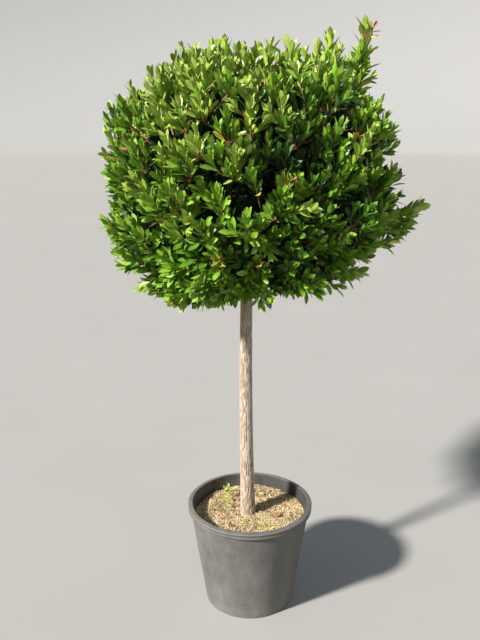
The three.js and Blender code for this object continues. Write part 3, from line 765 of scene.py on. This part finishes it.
def make_pot():
    outline = pot_outline()
    corners = lathe(outline, POT_SIDES)
    turn, height = np.arctan2(corners[:, 1], corners[:, 0]), corners[:, 2]
    dent = sum(
        dents["depth"] * np.sin(dents["waves"] * turn + dents["twist"] * height + dents["start"])
        for dents in POT_DENTS
    )
    wall = np.hypot(corners[:, 0], corners[:, 1]) > FLAT_RADIUS
    corners[:, :2] *= 1 - ((POT_SHRINK + dent / RIM_RADIUS) * wall)[:, None]
    lip_top = next(row for row, point in enumerate(outline) if point[1] > POT_HEIGHT - LIP_EDGE / 2)
    # 1 where the plastic is greyed like the outside, 0 where it takes the inside's painted shade
    outside = np.repeat(np.arange(len(outline)) <= lip_top + GREYED_ROWS, POT_SIDES).astype(float)
    batch = Batch()
    batch.add(corners, ring_faces(len(outline), POT_SIDES), values=outside)
    batch.piece("nursery_pot", pot_paint(), "pot_plastic", ["pot"])


def pot_inside(height):
    """The radius at a height that the mix may fill."""
    share = (height - POT_WALL) / (POT_HEIGHT - SOIL_TAPER_TOP - POT_WALL)
    return mix(BODY_FOOT_RADIUS - POT_WALL, RIM_RADIUS - LIP_WIDTH, share)


# Potting mix


def soil_height(x, y):
    """The CAD's gentle bumps, level where the trunk stands, with clods on them all over."""
    across, along, slanted = SOIL_WAVES
    broad = np.sin(x / across + 1) * np.cos(y / along) + np.sin((x + y) / slanted) / 2
    away = np.clip((np.hypot(x, y) - SEAT_RADIUS) / SEAT_RADIUS, 0, 1)
    clods = 0
    for sort in CLODS:
        columns, rows = x / sort["width"] + sort["shift"], y / sort["width"] + sort["shift"]
        clods = clods + sort["share"] * smooth_noise(columns, rows, sort["columns"], sort["seed"])
    return SOIL_LEVEL + SOIL_BUMP * broad * away + CLOD_HEIGHT * (clods - CLOD_MIDDLE)


def make_soil():
    edge = pot_inside(SOIL_LEVEL) - SOIL_GAP["edge"]
    outline = [
        (CENTRE_RADIUS, SOIL_FOOT),
        (pot_inside(SOIL_FOOT) - SOIL_GAP["foot"], SOIL_FOOT),
        (edge, SOIL_LEVEL - SOIL_SKIRT),
    ]
    for ring in range(SOIL_RINGS + 1):
        outline.append((mix(edge, CENTRE_RADIUS, (ring / SOIL_RINGS) ** RING_BUNCHING), SOIL_LEVEL))
    corners = lathe(outline, SOIL_SIDES)
    top = corners[:, 2] > SOIL_LEVEL - SOIL_SKIRT / 2
    corners[top, 2] = soil_height(corners[top, 0], corners[top, 1])
    batch = Batch()
    batch.add(corners, ring_faces(len(outline), SOIL_SIDES))
    batch.piece("potting_mix", soil_paint("potting_mix", MIX_BROWNS), "potting_mix", ["soil"])
    make_crumbs(edge)


def spread_on_soil(random, count, edge):
    """Random places on the soil, clear of the trunk."""
    radius = edge * np.sqrt(random.random(count)) * CRUMB_REACH
    turn = random.random(count) * 2 * math.pi
    x, y = radius * np.cos(turn), radius * np.sin(turn)
    clear = np.hypot(x - TRUNK_FOOT[0], y) > TRUNK_RADIUS + FLARE + CRUMB_CLEARANCE
    x, y = x[clear], y[clear]
    return np.stack([x, y, soil_height(x, y)], axis=-1)


def random_turns(random, count):
    """Random rotations, as rows of three directions each."""
    first = random.normal(size=(count, 3))
    second = np.cross(first, random.normal(size=(count, 3)))
    third = np.cross(first, second)
    turns = np.stack([first, second, third], axis=1)
    return turns / np.linalg.norm(turns, axis=2)[:, :, None]


def make_crumbs(edge):
    """Loose crumbs, and flat slivers of bark, lying on the mix in three browns."""
    random = np.random.default_rng(CRUMB_SEED)
    for name, share, browns in CRUMB_KINDS:
        batch = Batch()
        for sort in CRUMB_SORTS:
            places = spread_on_soil(random, int(sort["count"] * share), edge)
            uneven = 1 + CRUMB_UNEVENNESS * (random.random((len(places), len(CRUMB), 1)) - 0.5)
            shapes = CRUMB * uneven * sort["shape"]
            turns = random_turns(random, len(places))
            size = mix(sort["smallest"], sort["largest"], random.random((len(places), 1, 1)) ** 2)
            corners = (shapes * size) @ turns + places[:, None]
            corners[:, :, 2] = np.minimum(corners[:, :, 2], CRUMB_LIMIT)
            faces = CRUMB_FACES[None] + len(CRUMB) * np.arange(len(places))[:, None, None]
            batch.add(corners.reshape(-1, 3), faces.reshape(-1, 3))
        batch.piece(name, soil_paint(name, browns), "potting_mix", smooth=False)


# Trunk and boughs


def trunk_point(share):
    return mix(TRUNK_FOOT, TRUNK_TIP, share) - np.array([TRUNK_SWAY * math.sin(math.pi * share), 0, 0])


def trunk_radius(share):
    height = share * (TRUNK_TIP[2] - TRUNK_FOOT[2])
    neck = TRUNK_NECK_HEIGHT - TRUNK_FOOT[2]
    if height > neck:
        above = (height - neck) / (TRUNK_TIP[2] - TRUNK_NECK_HEIGHT)
        return mix(TRUNK_NECK_RADIUS, TRUNK_TIP_RADIUS, above)
    return mix(TRUNK_RADIUS, TRUNK_NECK_RADIUS, height / neck) + FLARE * math.exp(-height / FLARE_HEIGHT)


def bark_ridges(turns, length, seed):
    """The bark's relief, from 0 in a fissure to 1 on a ridge, for turns round a limb and places along it."""
    turns, length = np.meshgrid(turns, length)
    swings = FISSURE_DRIFT["swings"]
    drift = smooth_noise(turns * swings, length / FISSURE_DRIFT["length"], swings, seed)
    relief = np.ones_like(turns)
    for number, fissures in enumerate(FISSURES, start=1):
        across = turns * fissures["count"] + drift * FISSURE_DRIFT["width"]
        column = np.floor(across)
        from_middle = np.abs(across - column - 0.5) * 2
        along = length / fissures["length"] + column * FISSURE_STAGGER
        opened = smooth_noise(column, along, fissures["count"], seed + number)
        cut = np.clip(FISSURE_SLOPE * (1 - from_middle / fissures["width"]), 0, 1)
        cut *= np.clip((opened - FISSURE_ENDS["from"]) / FISSURE_ENDS["over"], 0, 1)
        relief -= fissures["depth"] * cut
    return np.clip(relief, 0, 1)


def bark_limb(batch, points, radii, sides, depth, seed):
    """Adds a limb with fissured bark to a batch."""
    ridges = bark_ridges(np.arange(sides) / sides, lengths_along(points), seed)
    skin = np.asarray(radii)[:, None] - depth * (1 - ridges)
    batch.add(tube(points, skin, sides), ring_faces(len(points), sides), values=ridges.ravel())


def make_bark(masses):
    batch = Batch()
    shares = np.linspace(-TRUNK_SUNK, 1, TRUNK_RINGS)
    points = np.array([trunk_point(share) for share in shares])
    radii = np.array([trunk_radius(max(share, 0)) for share in shares])
    radii[-1] *= TRUNK_CLOSING
    bark_limb(batch, points, radii, TRUNK_SIDES, BARK_DEPTH, BARK_SEED)
    nodes = ["trunk"]
    for number, mass in enumerate(masses):
        if mass.bough is None:
            continue
        share = np.linspace(0, 1, BOUGH_RINGS)
        collar = 1 + BOUGH_COLLAR["swell"] * np.exp(-share / BOUGH_COLLAR["length"])
        radii = mix(mass.limb, BOUGH_TIP_RADIUS, share) * collar
        points = bend(*mass.bough, BOUGH_RINGS)
        bark_limb(batch, points, radii, BOUGH_SIDES, BOUGH_BARK_DEPTH, BOUGH_SEED + number)
        nodes.append(f"bough_{mass.name}")
    batch.piece("trunk_and_boughs", bark_paint(), "bark", nodes)


# Crown: masses, twigs and shoots by the source's rule


def plan_masses():
    masses = [SimpleNamespace(**TOP_MASS)]
    for ring in MASS_RINGS:
        for k in range(ring["count"]):
            stagger = (k * 2) % ring["count"] - (ring["count"] - 1) / 2
            place = {
                "name": f"{ring['name']}_{k + 1}",
                "azimuth": math.radians(ring["turn"] + 360 * k / ring["count"]),
                "fork": ring["fork"] + BOUGH_STAGGER * stagger,
            }
            masses.append(SimpleNamespace(**{**ring, **place}))
    for mass in masses:
        out = np.array([math.cos(mass.azimuth), math.sin(mass.azimuth), 0])
        offset = out * mass.radius + UP * mass.height
        mass.seat = CROWN_CENTRE + offset
        mass.middle = CROWN_CENTRE + CORE_MIDDLE * offset
        mass.bough = plan_bough(mass, out) if mass.fork else None
    return masses


def plan_bough(mass, out):
    """Where a bough starts, bends and ends."""
    start = trunk_point((mass.fork - TRUNK_FOOT[2]) / (TRUNK_TIP[2] - TRUNK_FOOT[2]))
    rise = BOUGH_TIP_HEIGHT * (mass.middle[2] - start[2])
    end = start + out * BOUGH_REACH + UP * rise
    knee = start + out * BOUGH_REACH * BOUGH_BEND["out"] + UP * rise * BOUGH_BEND["up"]
    return start, knee, end


def crown_share(point):
    """How far out a point lies: 0 at the crown's centre and 1 on its outline."""
    x, y, z = point - CROWN_CENTRE
    wide = math.hypot(x, y) / CROWN_HALF_WIDTH
    high = abs(z) / (CROWN_RISE if z > 0 else CROWN_DROP)
    return (wide ** CROWN_SQUARENESS + high ** CROWN_SQUARENESS) ** (1 / CROWN_SQUARENESS)


def crown_height(point):
    """How high a point lies in the crown: -1 at its underside and 1 at its top."""
    z = point[2] - CROWN_CENTRE[2]
    return float(np.clip(z / (CROWN_RISE if z > 0 else CROWN_DROP), -1, 1))


def lattice(count):
    """Directions spread evenly over a ball."""
    z = 1 - (2 * np.arange(count) + 1) / count
    turn = np.arange(count) * GOLDEN_ANGLE
    ring = np.sqrt(1 - z * z)
    return np.stack([ring * np.cos(turn), ring * np.sin(turn), z], axis=-1)


def growth(point):
    """The direction in which a shoot grows at a place: outwards, and the more upwards the higher up."""
    x, y, z = point - CROWN_CENTRE
    out = unit(np.array([x, y, z * GROWTH_OUT]))
    return unit(out + UP * mix(*GROWTH_UP, ((crown_height(point) + 1) / 2) ** GROWTH_BEND))


def plan_tips():
    """Where the twigs of the source's rule end, and the places that decide their masses."""
    tips = []
    for i, direction in enumerate(lattice(TIP_COUNT)):
        share = TIP_SHARE + TIP_SPREAD * (2 * chance(1, i) - 1)
        point = CROWN_CENTRE + direction * share / crown_share(CROWN_CENTRE + direction)
        end = point + growth(point) * (CAD_LEAF_REACH - LEAF_REACH)
        tips.append(SimpleNamespace(point=point, end=end, upright=False, long=False))
    for place in LONG_SHOOTS:
        reach = np.array(place)
        upright = reach[2] > UPRIGHT_ABOVE
        point = reach - (UP if upright else unit(reach - CROWN_CENTRE)) * CAD_LEAF_REACH
        end = reach - (UP if upright else growth(reach)) * LEAF_REACH
        tips.append(SimpleNamespace(point=point, end=end, upright=upright, long=True))
    return tips


def nearest_mass(masses, point):
    return min(masses, key=lambda mass: np.linalg.norm(point - mass.seat))


def clusters(mass, tips):
    """The tips of a mass, in order round its middle, a few to each twig."""
    axis = unit(mass.seat - CROWN_CENTRE)
    right = unit(np.cross(axis, OFF_AXIS))
    up = np.cross(right, axis)
    own = [tip for tip in tips if tip.mass is mass]
    own.sort(key=lambda tip: math.atan2((tip.point - mass.middle) @ up, (tip.point - mass.middle) @ right))
    count = math.ceil(len(own) / TIPS_PER_TWIG)
    return [own[k * len(own) // count:(k + 1) * len(own) // count] for k in range(count)]


def add_twig(batch, points, foot, end, sides=SIDES["twig"]):
    corners = tube(points, np.linspace(foot, end, len(points)), sides)
    batch.add(corners, ring_faces(len(points), sides))


def twig_knee(tip, fork, sway):
    """Where a twig bends between its fork and its tip."""
    if tip.upright:
        return np.array([tip.end[0], tip.end[1], mix(fork[2], tip.end[2] - UPRIGHT_RISE, UPRIGHT_KNEE)])
    if tip.long:
        return tip.end - growth(tip.end) * SIDE_SHOOT_RISE
    return mix(fork, tip.end, TWIG_KNEE) + sway


def grow_mass(mass, tips, crown):
    """Stem, stalks and twigs of one mass. Returns places along them where shoots may start."""
    start, lead = (mass.bough[2], mass.bough[2] - mass.bough[1]) if mass.bough else (TRUNK_TIP, UP)
    knee = start + unit(lead) * np.linalg.norm(mass.middle - start) * STEM_LEAD
    stem = bend(start, knee, mass.middle, POINTS["stem"])
    add_twig(crown.brown, stem, BOUGH_TIP_RADIUS, STEM_RADIUS)
    starts = list(stem[3:])
    for cluster in clusters(mass, tips):
        fork = mix(mass.middle, np.mean([tip.point for tip in cluster], axis=0), FORK_SHARE)
        sway = crown.random.normal(size=3) * FORK_SWAY
        stalk = bend(mass.middle, mix(mass.middle, fork, 0.5) + sway, fork, POINTS["fork"])
        add_twig(crown.brown, stalk, STEM_RADIUS, TWIG_RADIUS)
        starts += list(stalk[2:])
        for tip in cluster:
            tip.line = bend(fork, twig_knee(tip, fork, sway), tip.end, POINTS["twig"])
            add_twig(crown.brown, tip.line, TWIG_RADIUS, TWIG_END_RADIUS)
            starts += list(tip.line[1:-2])
    return starts


# Sprays


def lumps(direction):
    """Gentle swells and hollows of the crown, from -1 to 1."""
    return np.mean(np.sin(LUMPS[:, :3] @ direction + LUMPS[:, 3]))


def swell(direction):
    """How far the crown swells in a direction, as a share of its outline."""
    total = 0.0
    for middle, rise, width in SWELLS:
        apart = np.linalg.norm(direction - unit(np.array(middle)))
        total += rise * math.exp(-(apart / width) ** 2)
    return total


def plan_sprays(layer, random):
    """Where the sprays of one layer end."""
    ends = []
    for direction in lattice(layer["sprays"]):
        loose = unit(direction + random.normal(size=3) * LOOSENESS)
        share = layer["share"] + layer["lump"] * lumps(loose) + layer["spread"] * (2 * random.random() - 1)
        share += swell(loose) - UNDERSIDE_GAPS * max(-loose[2], 0) * random.random()
        share -= SUNK_DEPTH if random.random() < layer["sunk"] else 0
        end = CROWN_CENTRE + loose * share / crown_share(CROWN_CENTRE + loose)
        end += UP * TOP_RISE * max(crown_height(end), 0) ** 2 * random.random() ** FEW_HIGH
        end[2] = min(end[2], TOP_LIMIT)
        ends.append(end)
    return ends


def spray_stalk(fork, lead, end, starts, random):
    """A stalk to the fork of a spray, from a place that lies near it and behind it."""
    ahead = fork - np.asarray(starts)
    distance = np.linalg.norm(ahead, axis=1) + TINY
    facing = ahead @ unit(end - CROWN_CENTRE) / distance
    best = int(np.argmin(distance * (STALK_FACING - facing)))
    sway = random.normal(size=3) * STALK_BOW["sway"]
    knee = mix(starts[best], fork, STALK_BOW["share"]) - lead * distance[best] * STALK_BOW["drop"] + sway
    return bend(starts[best], knee, fork, POINTS["stalk"])


def spray_lines(end, starts, count, random):
    """The stalk of a spray and the shoots that it forks into. The first shoot ends foremost."""
    lead = growth(end)
    fork = end - lead * SPRAY_LENGTH
    stalk = spray_stalk(fork, lead, end, starts, random)
    right = unit(np.cross(lead, random.normal(size=3)))
    up = np.cross(lead, right)
    deepest = mix(*SHOOT_DROP, max(crown_height(end), 0))
    shoots = []
    for k in range(count):
        turn = 2 * math.pi * k / (count - 1) + random.normal() * SHOOT_TURN_SCATTER
        width = 0.0 if k == 0 else SPRAY_WIDTH * mix(*WIDTH_SCATTER, random.random())
        side = (right * math.cos(turn) + up * math.sin(turn)) * width
        drop = 0.0 if k == 0 else deepest * random.random()
        tip = end + side - lead * (width * SHOOT_ROUNDING + drop)
        knee = mix(fork, tip, SHOOT_BOW[0]) + side * SHOOT_BOW[1]
        shoots.append(bend(fork, knee, tip, POINTS["shoot"]))
    return stalk, shoots


def shoot_tints(end, inner, random):
    """Leaf tints of a spray, from its tip down: fresh outside; darker inside, on the right and in hollows as
    painted shade; lighter on top for young growth and painted light, and below as painted light.
    """
    if inner:
        # sprays inside the crown take dark tints, as painted shade
        return DARK_TINTS if random.random() < INNER_DARK_SHARE else INNER_TINTS
    height = crown_height(end)
    right = max(end[0] - CROWN_CENTRE[0], 0) / CROWN_HALF_WIDTH
    hollow = max(HOLLOW_UNDER - crown_share(end), 0)
    lot = random.random() + LIGHTER["everywhere"] + LIGHTER["on top and below"] * height ** 2
    # painted shade: darker on the right, away from the key, and in hollows
    lot -= PAINTED_SHADE["on the right"] * right + PAINTED_SHADE["in hollows"] * hollow
    for least, tints in TINT_LOTS:
        young = LIGHTER["young on top"] * height if "young" in tints else 0.0
        if lot + young > least:
            return tints
    return DARK_TINTS


def grow_spray(end, starts, layer, crown, tints=None):
    """One spray with its leaves, in tints of its own or by its place. Returns its shoots."""
    random = crown.random
    stalk, shoots = spray_lines(end, starts, layer["shoots"], random)
    add_twig(crown.brown, stalk, STALK_RADIUS, TWIG_END_RADIUS, SIDES["stalk"])
    starts += [stalk[3], stalk[5]]
    usual_tints = shoot_tints(end, layer["inner"], random)
    height = crown_height(end)
    spread = mix(np.array(SPREAD), np.array(TOP_SPREAD if height > 0 else LOW_SPREAD), abs(height))
    pitch = mix(LEAF_PITCH, TOP_PITCH, max(height, 0))
    size = mix(1.0, LOW_SIZE, max(-height, 0))
    for line in shoots:
        wood = crown.brown if layer["inner"] else crown.red
        add_twig(wood, line, SHOOT_RADIUS, SHOOT_END_RADIUS, SIDES["shoot"])
        crown.leaves.rosette(line, layer["leaves"], tints or usual_tints, random, size, spread, pitch)
    return shoots


def grow_companions(tip, crown):
    """Sprays beside a long shoot, each next one lower and further off. Returns their shoots."""
    lead = growth(tip.line[-1])
    shoots = []
    for k in range(COMPANIONS["upright" if tip.upright else "side"]):
        beside = unit(np.cross(lead, crown.random.normal(size=3)))
        drop = COMPANION_DROP[0] + COMPANION_DROP[1] * k
        distance = COMPANION_DISTANCE[0] + COMPANION_DISTANCE[1] * k
        end = tip.line[-1] - lead * drop + beside * distance
        # companions take the long shoot's light tints, partly as painted light
        shoots += grow_spray(end, list(tip.line[2:9]), SPRAY_LAYERS[0], crown, LONG_SHOOT_TINTS)
    return shoots


def leaf_twigs(tips, crown):
    """Leaves on the twigs of the source's rule, and sprays beside its long shoots. Returns their shoots."""
    leaves, random = crown.leaves, crown.random
    shoots = []
    for tip in tips:
        if tip.long:
            shoots.append(tip.line)
            leaves.rosette(
                tip.line, LONG_SHOOT_LEAVES, LONG_SHOOT_TINTS, random, LONG_SHOOT_SIZE, LONG_SHOOT_SPREAD
            )
            shoots += grow_companions(tip, crown)
        else:
            tints = shoot_tints(tip.line[-1], False, random)
            leaves.rosette(tip.line, SPRAY_LAYERS[0]["leaves"], tints, random)
    return shoots


# Leaves


class Leaves:
    """Places, directions and sizes of leaves, kept by tint until their meshes are made."""

    def __init__(self):
        self.tints = {}

    def rosette(self, line, count, tints, random, size=1.0, spread=SPREAD, pitch=LEAF_PITCH):
        """Leaves round the end of a shoot, from its tip down, spreading more and more."""
        lengths = lengths_along(line[::-1])
        tangents, across, along = frames_along(line)
        start = random.random() * 2 * math.pi
        for k in range(count):
            down = pitch * (k + FIRST_LEAF) + LEAF_SLOWING * k * k
            if down > lengths[-1] * LEAFY_SHARE:
                break
            spot = len(line) - 1 - np.interp(down, lengths, np.arange(len(line)))
            at = int(spot)
            root = mix(line[at], line[min(at + 1, len(line) - 1)], spot - at)
            turn = start + k * GOLDEN_ANGLE + random.normal() * LEAF_SCATTER["turn"]
            side = across[at] * math.cos(turn) + along[at] * math.sin(turn)
            opened = mix(*spread, (k / (count - 1)) ** SPREAD_BEND) + random.normal() * LEAF_SCATTER["spread"]
            grown = min(1.0, TIP_LEAF_SIZE + TIP_LEAF_GAIN * k) * size
            length = LEAF_LENGTH * grown * mix(*LEAF_SCATTER["size"], random.random())
            tint = tints[min(k * len(tints) // count, len(tints) - 1)]
            if random.random() < YELLOW_SHARE and k > YELLOW_AFTER:
                tint = "yellow"
            self.add(tint, root, tangents[at], side, opened, length, random)

    def add(self, tint, root, axis, side, spread, length, random):
        """One leaf that leaves an axis on one side, spread from it by some degrees."""
        spread = math.radians(spread)
        forward = axis * math.cos(spread) + side * math.sin(spread)
        face = axis * math.sin(spread) - side * math.cos(spread)
        across = np.cross(face, forward)
        roll = random.normal() * LEAF_SCATTER["roll"]
        face = face * math.cos(roll) + across * math.sin(roll)
        width = length * LEAF_WIDTH * mix(*LEAF_SCATTER["width"], random.random())
        curl = mix(*LEAF_SCATTER["curl"], random.random())
        self.tints.setdefault(tint, []).append([*root, *forward, *face, length, width, curl])

    def make(self, tint, material, nodes):
        """One mesh of all the leaves of a tint."""
        rows = np.array(self.tints[tint])[:, None]
        root, forward, face = rows[..., 0:3], rows[..., 3:6], rows[..., 6:9]
        length, width, curl = rows[..., 9:10], rows[..., 10:11], rows[..., 11:12]
        spots, faces = leaf_pattern()
        along, wide = spots[:, 0:1], spots[:, 1:2]
        lift = np.abs(wide) * LEAF_FOLD * width - curl * along ** 2 * length / 2
        corners = root + forward * along * length + np.cross(face, forward) * wide * width + face * lift
        charts = np.tile(spots + [0.0, 0.5], (len(rows), 1))
        numbers = faces[None] + len(spots) * np.arange(len(rows))[:, None, None]
        batch = Batch()
        batch.add(corners.reshape(-1, 3), numbers.reshape(-1, 3), charts)
        batch.piece(f"leaves_{tint}", material, "foliage", nodes)


def leaf_pattern():
    """Corners (along, across) of one leaf and its faces: a row of three corners at each width."""
    spots = [(0.0, 0.0)]
    for along, half in LEAF_ROWS:
        spots += [(along, -half), (along, 0.0), (along, half)]
    spots.append((1.0, 0.0))
    tip = len(spots) - 1
    faces = [(0, 2, 1), (0, 3, 2)]
    for left in range(1, tip - 3, 3):
        for corner in (left, left + 1):
            faces += [(corner, corner + 1, corner + 4), (corner, corner + 4, corner + 3)]
    faces += [(tip - 3, tip - 2, tip), (tip - 2, tip - 1, tip)]
    return np.array(spots), np.array(faces)


def dead_leaves(shoots, crown):
    """Rust-brown rosettes on a few shoots, and on a spur of the tallest one."""
    dead = [min(shoots, key=lambda line: np.linalg.norm(line[-1] - place)) for place in DEAD_SHOOTS]
    spur = bend(*DEAD_SPUR, POINTS["shoot"])
    add_twig(crown.brown, spur, SHOOT_RADIUS, SHOOT_END_RADIUS, SIDES["shoot"])
    for line in (*dead, spur):
        crown.leaves.rosette(line, DEAD_LEAVES, ["rust"], crown.random, DEAD_SIZE, DEAD_SPREAD)


def litter(crown):
    """A few fallen leaves and seedlings on the potting mix."""
    random = crown.random
    for tint, x, y, size in FALLEN_LEAVES:
        place = np.array([x, y, soil_height(x, y) + FALLEN["height"]])
        turn = random.random() * 2 * math.pi
        forward = np.array([math.cos(turn), math.sin(turn), FALLEN["rise"]])
        axis = unit(UP + np.cross(UP, forward) * FALLEN["tilt"])
        crown.leaves.add(tint, place, axis, unit(forward), FALLEN["spread"], LEAF_LENGTH * size, random)
    for x, y, height in SEEDLINGS:
        foot = np.array([x, y, soil_height(x, y)])
        tip = foot + UP * height + random.normal(size=3) * SEEDLING_SWAY
        line = bend(foot, foot + UP * height / 2, tip, POINTS["shoot"])
        crown.leaves.rosette(line, SEEDLING_LEAVES, ["seedling"], random, SEEDLING_SIZE, SEEDLING_SPREAD)


def make_crown(masses):
    random = np.random.default_rng(CROWN_SEED)
    crown = SimpleNamespace(brown=Batch(), red=Batch(), leaves=Leaves(), random=random)
    tips = plan_tips()
    for tip in tips:
        tip.mass = nearest_mass(masses, tip.point)
    starts = {mass.name: grow_mass(mass, tips, crown) for mass in masses}
    shoots = leaf_twigs(tips, crown)
    for layer in SPRAY_LAYERS:
        for end in plan_sprays(layer, random):
            shoots += grow_spray(end, starts[nearest_mass(masses, end).name], layer, crown)
    dead_leaves(shoots, crown)
    litter(crown)
    nodes = [f"foliage_{mass.name}" for mass in masses]
    crown.brown.piece("twigs_brown", twig_paint("twigs_brown", *TWIG_BROWNS), "bark", nodes)
    crown.red.piece("twigs_red", twig_paint("twigs_red", *TWIG_REDS), "bark", nodes)
    for tint, blade, rib, roughness in LEAF_TINTS:
        crown.leaves.make(tint, leaf_paint(f"leaf_{tint}", blade, rib, roughness), nodes)


# Stage, lights and camera


def make_stage():
    """A pale round floor, and a wall that curves up from it all round and lets the light in through it."""
    paint = stage_paint()
    rings = STAGE_RINGS["floor"]
    floor = [(STAGE_START + STAGE_RADIUS * i / rings, 0.0) for i in range(rings + 1)]
    edge = floor[-1][0]
    wall = arc((edge, STAGE_CURVE), STAGE_CURVE, -90, 0, STAGE_RINGS["curve"])
    wall.append((edge + STAGE_CURVE, STAGE_HEIGHT))
    for name, outline in (("studio_floor", floor), ("studio_wall", wall)):
        batch = Batch()
        batch.add(lathe(outline, STAGE_SIDES), ring_faces(len(outline), STAGE_SIDES)[:, ::-1])
        piece = batch.piece(name, paint, None)
        piece.visible_shadow = name == "studio_floor"


def add_light(name, kind, place, tone, energy):
    """A light that shines from a place on the plant's middle. Returns its settings."""
    lamp = bpy.data.lights.new(name, kind)
    lamp.color = tone
    lamp.energy = energy
    light = bpy.data.objects.new(name, lamp)
    light.location = place
    towards = Vector(LIGHT_TARGET) - Vector(place)
    light.rotation_euler = towards.to_track_quat("-Z", "Y").to_euler()
    bpy.context.scene.collection.objects.link(light)
    return lamp


def light_stage():
    """A key from the left and a little behind the camera, and weak light from all round."""
    key = add_light("key", "SUN", KEY["place"], KEY["tone"], KEY["strength"])
    key.angle = math.radians(KEY["angle"])
    fill = add_light("fill", "AREA", FILL["place"], FILL["tone"], FILL["power"])
    fill.shape = "DISK"
    fill.size = FILL["size"]
    world = bpy.data.worlds.new("studio")
    world.use_nodes = True
    sky = world.node_tree.nodes["Background"].inputs
    sky["Color"].default_value = SKY["tone"]
    sky["Strength"].default_value = SKY["strength"]
    bpy.context.scene.world = world
    bpy.context.scene.view_settings.view_transform = "Standard"


def place_camera():
    data = bpy.data.cameras.new("camera")
    data.lens = CAMERA_LENS
    camera = bpy.data.objects.new("camera", data)
    camera.location = CAMERA_PLACE
    camera.rotation_euler = (math.radians(90 - CAMERA_PITCH), 0, 0)
    bpy.context.scene.collection.objects.link(camera)
    bpy.context.scene.camera = camera


masses = plan_masses()
make_pot()
make_soil()
make_bark(masses)
make_crown(masses)
make_stage()
light_stage()
place_camera()
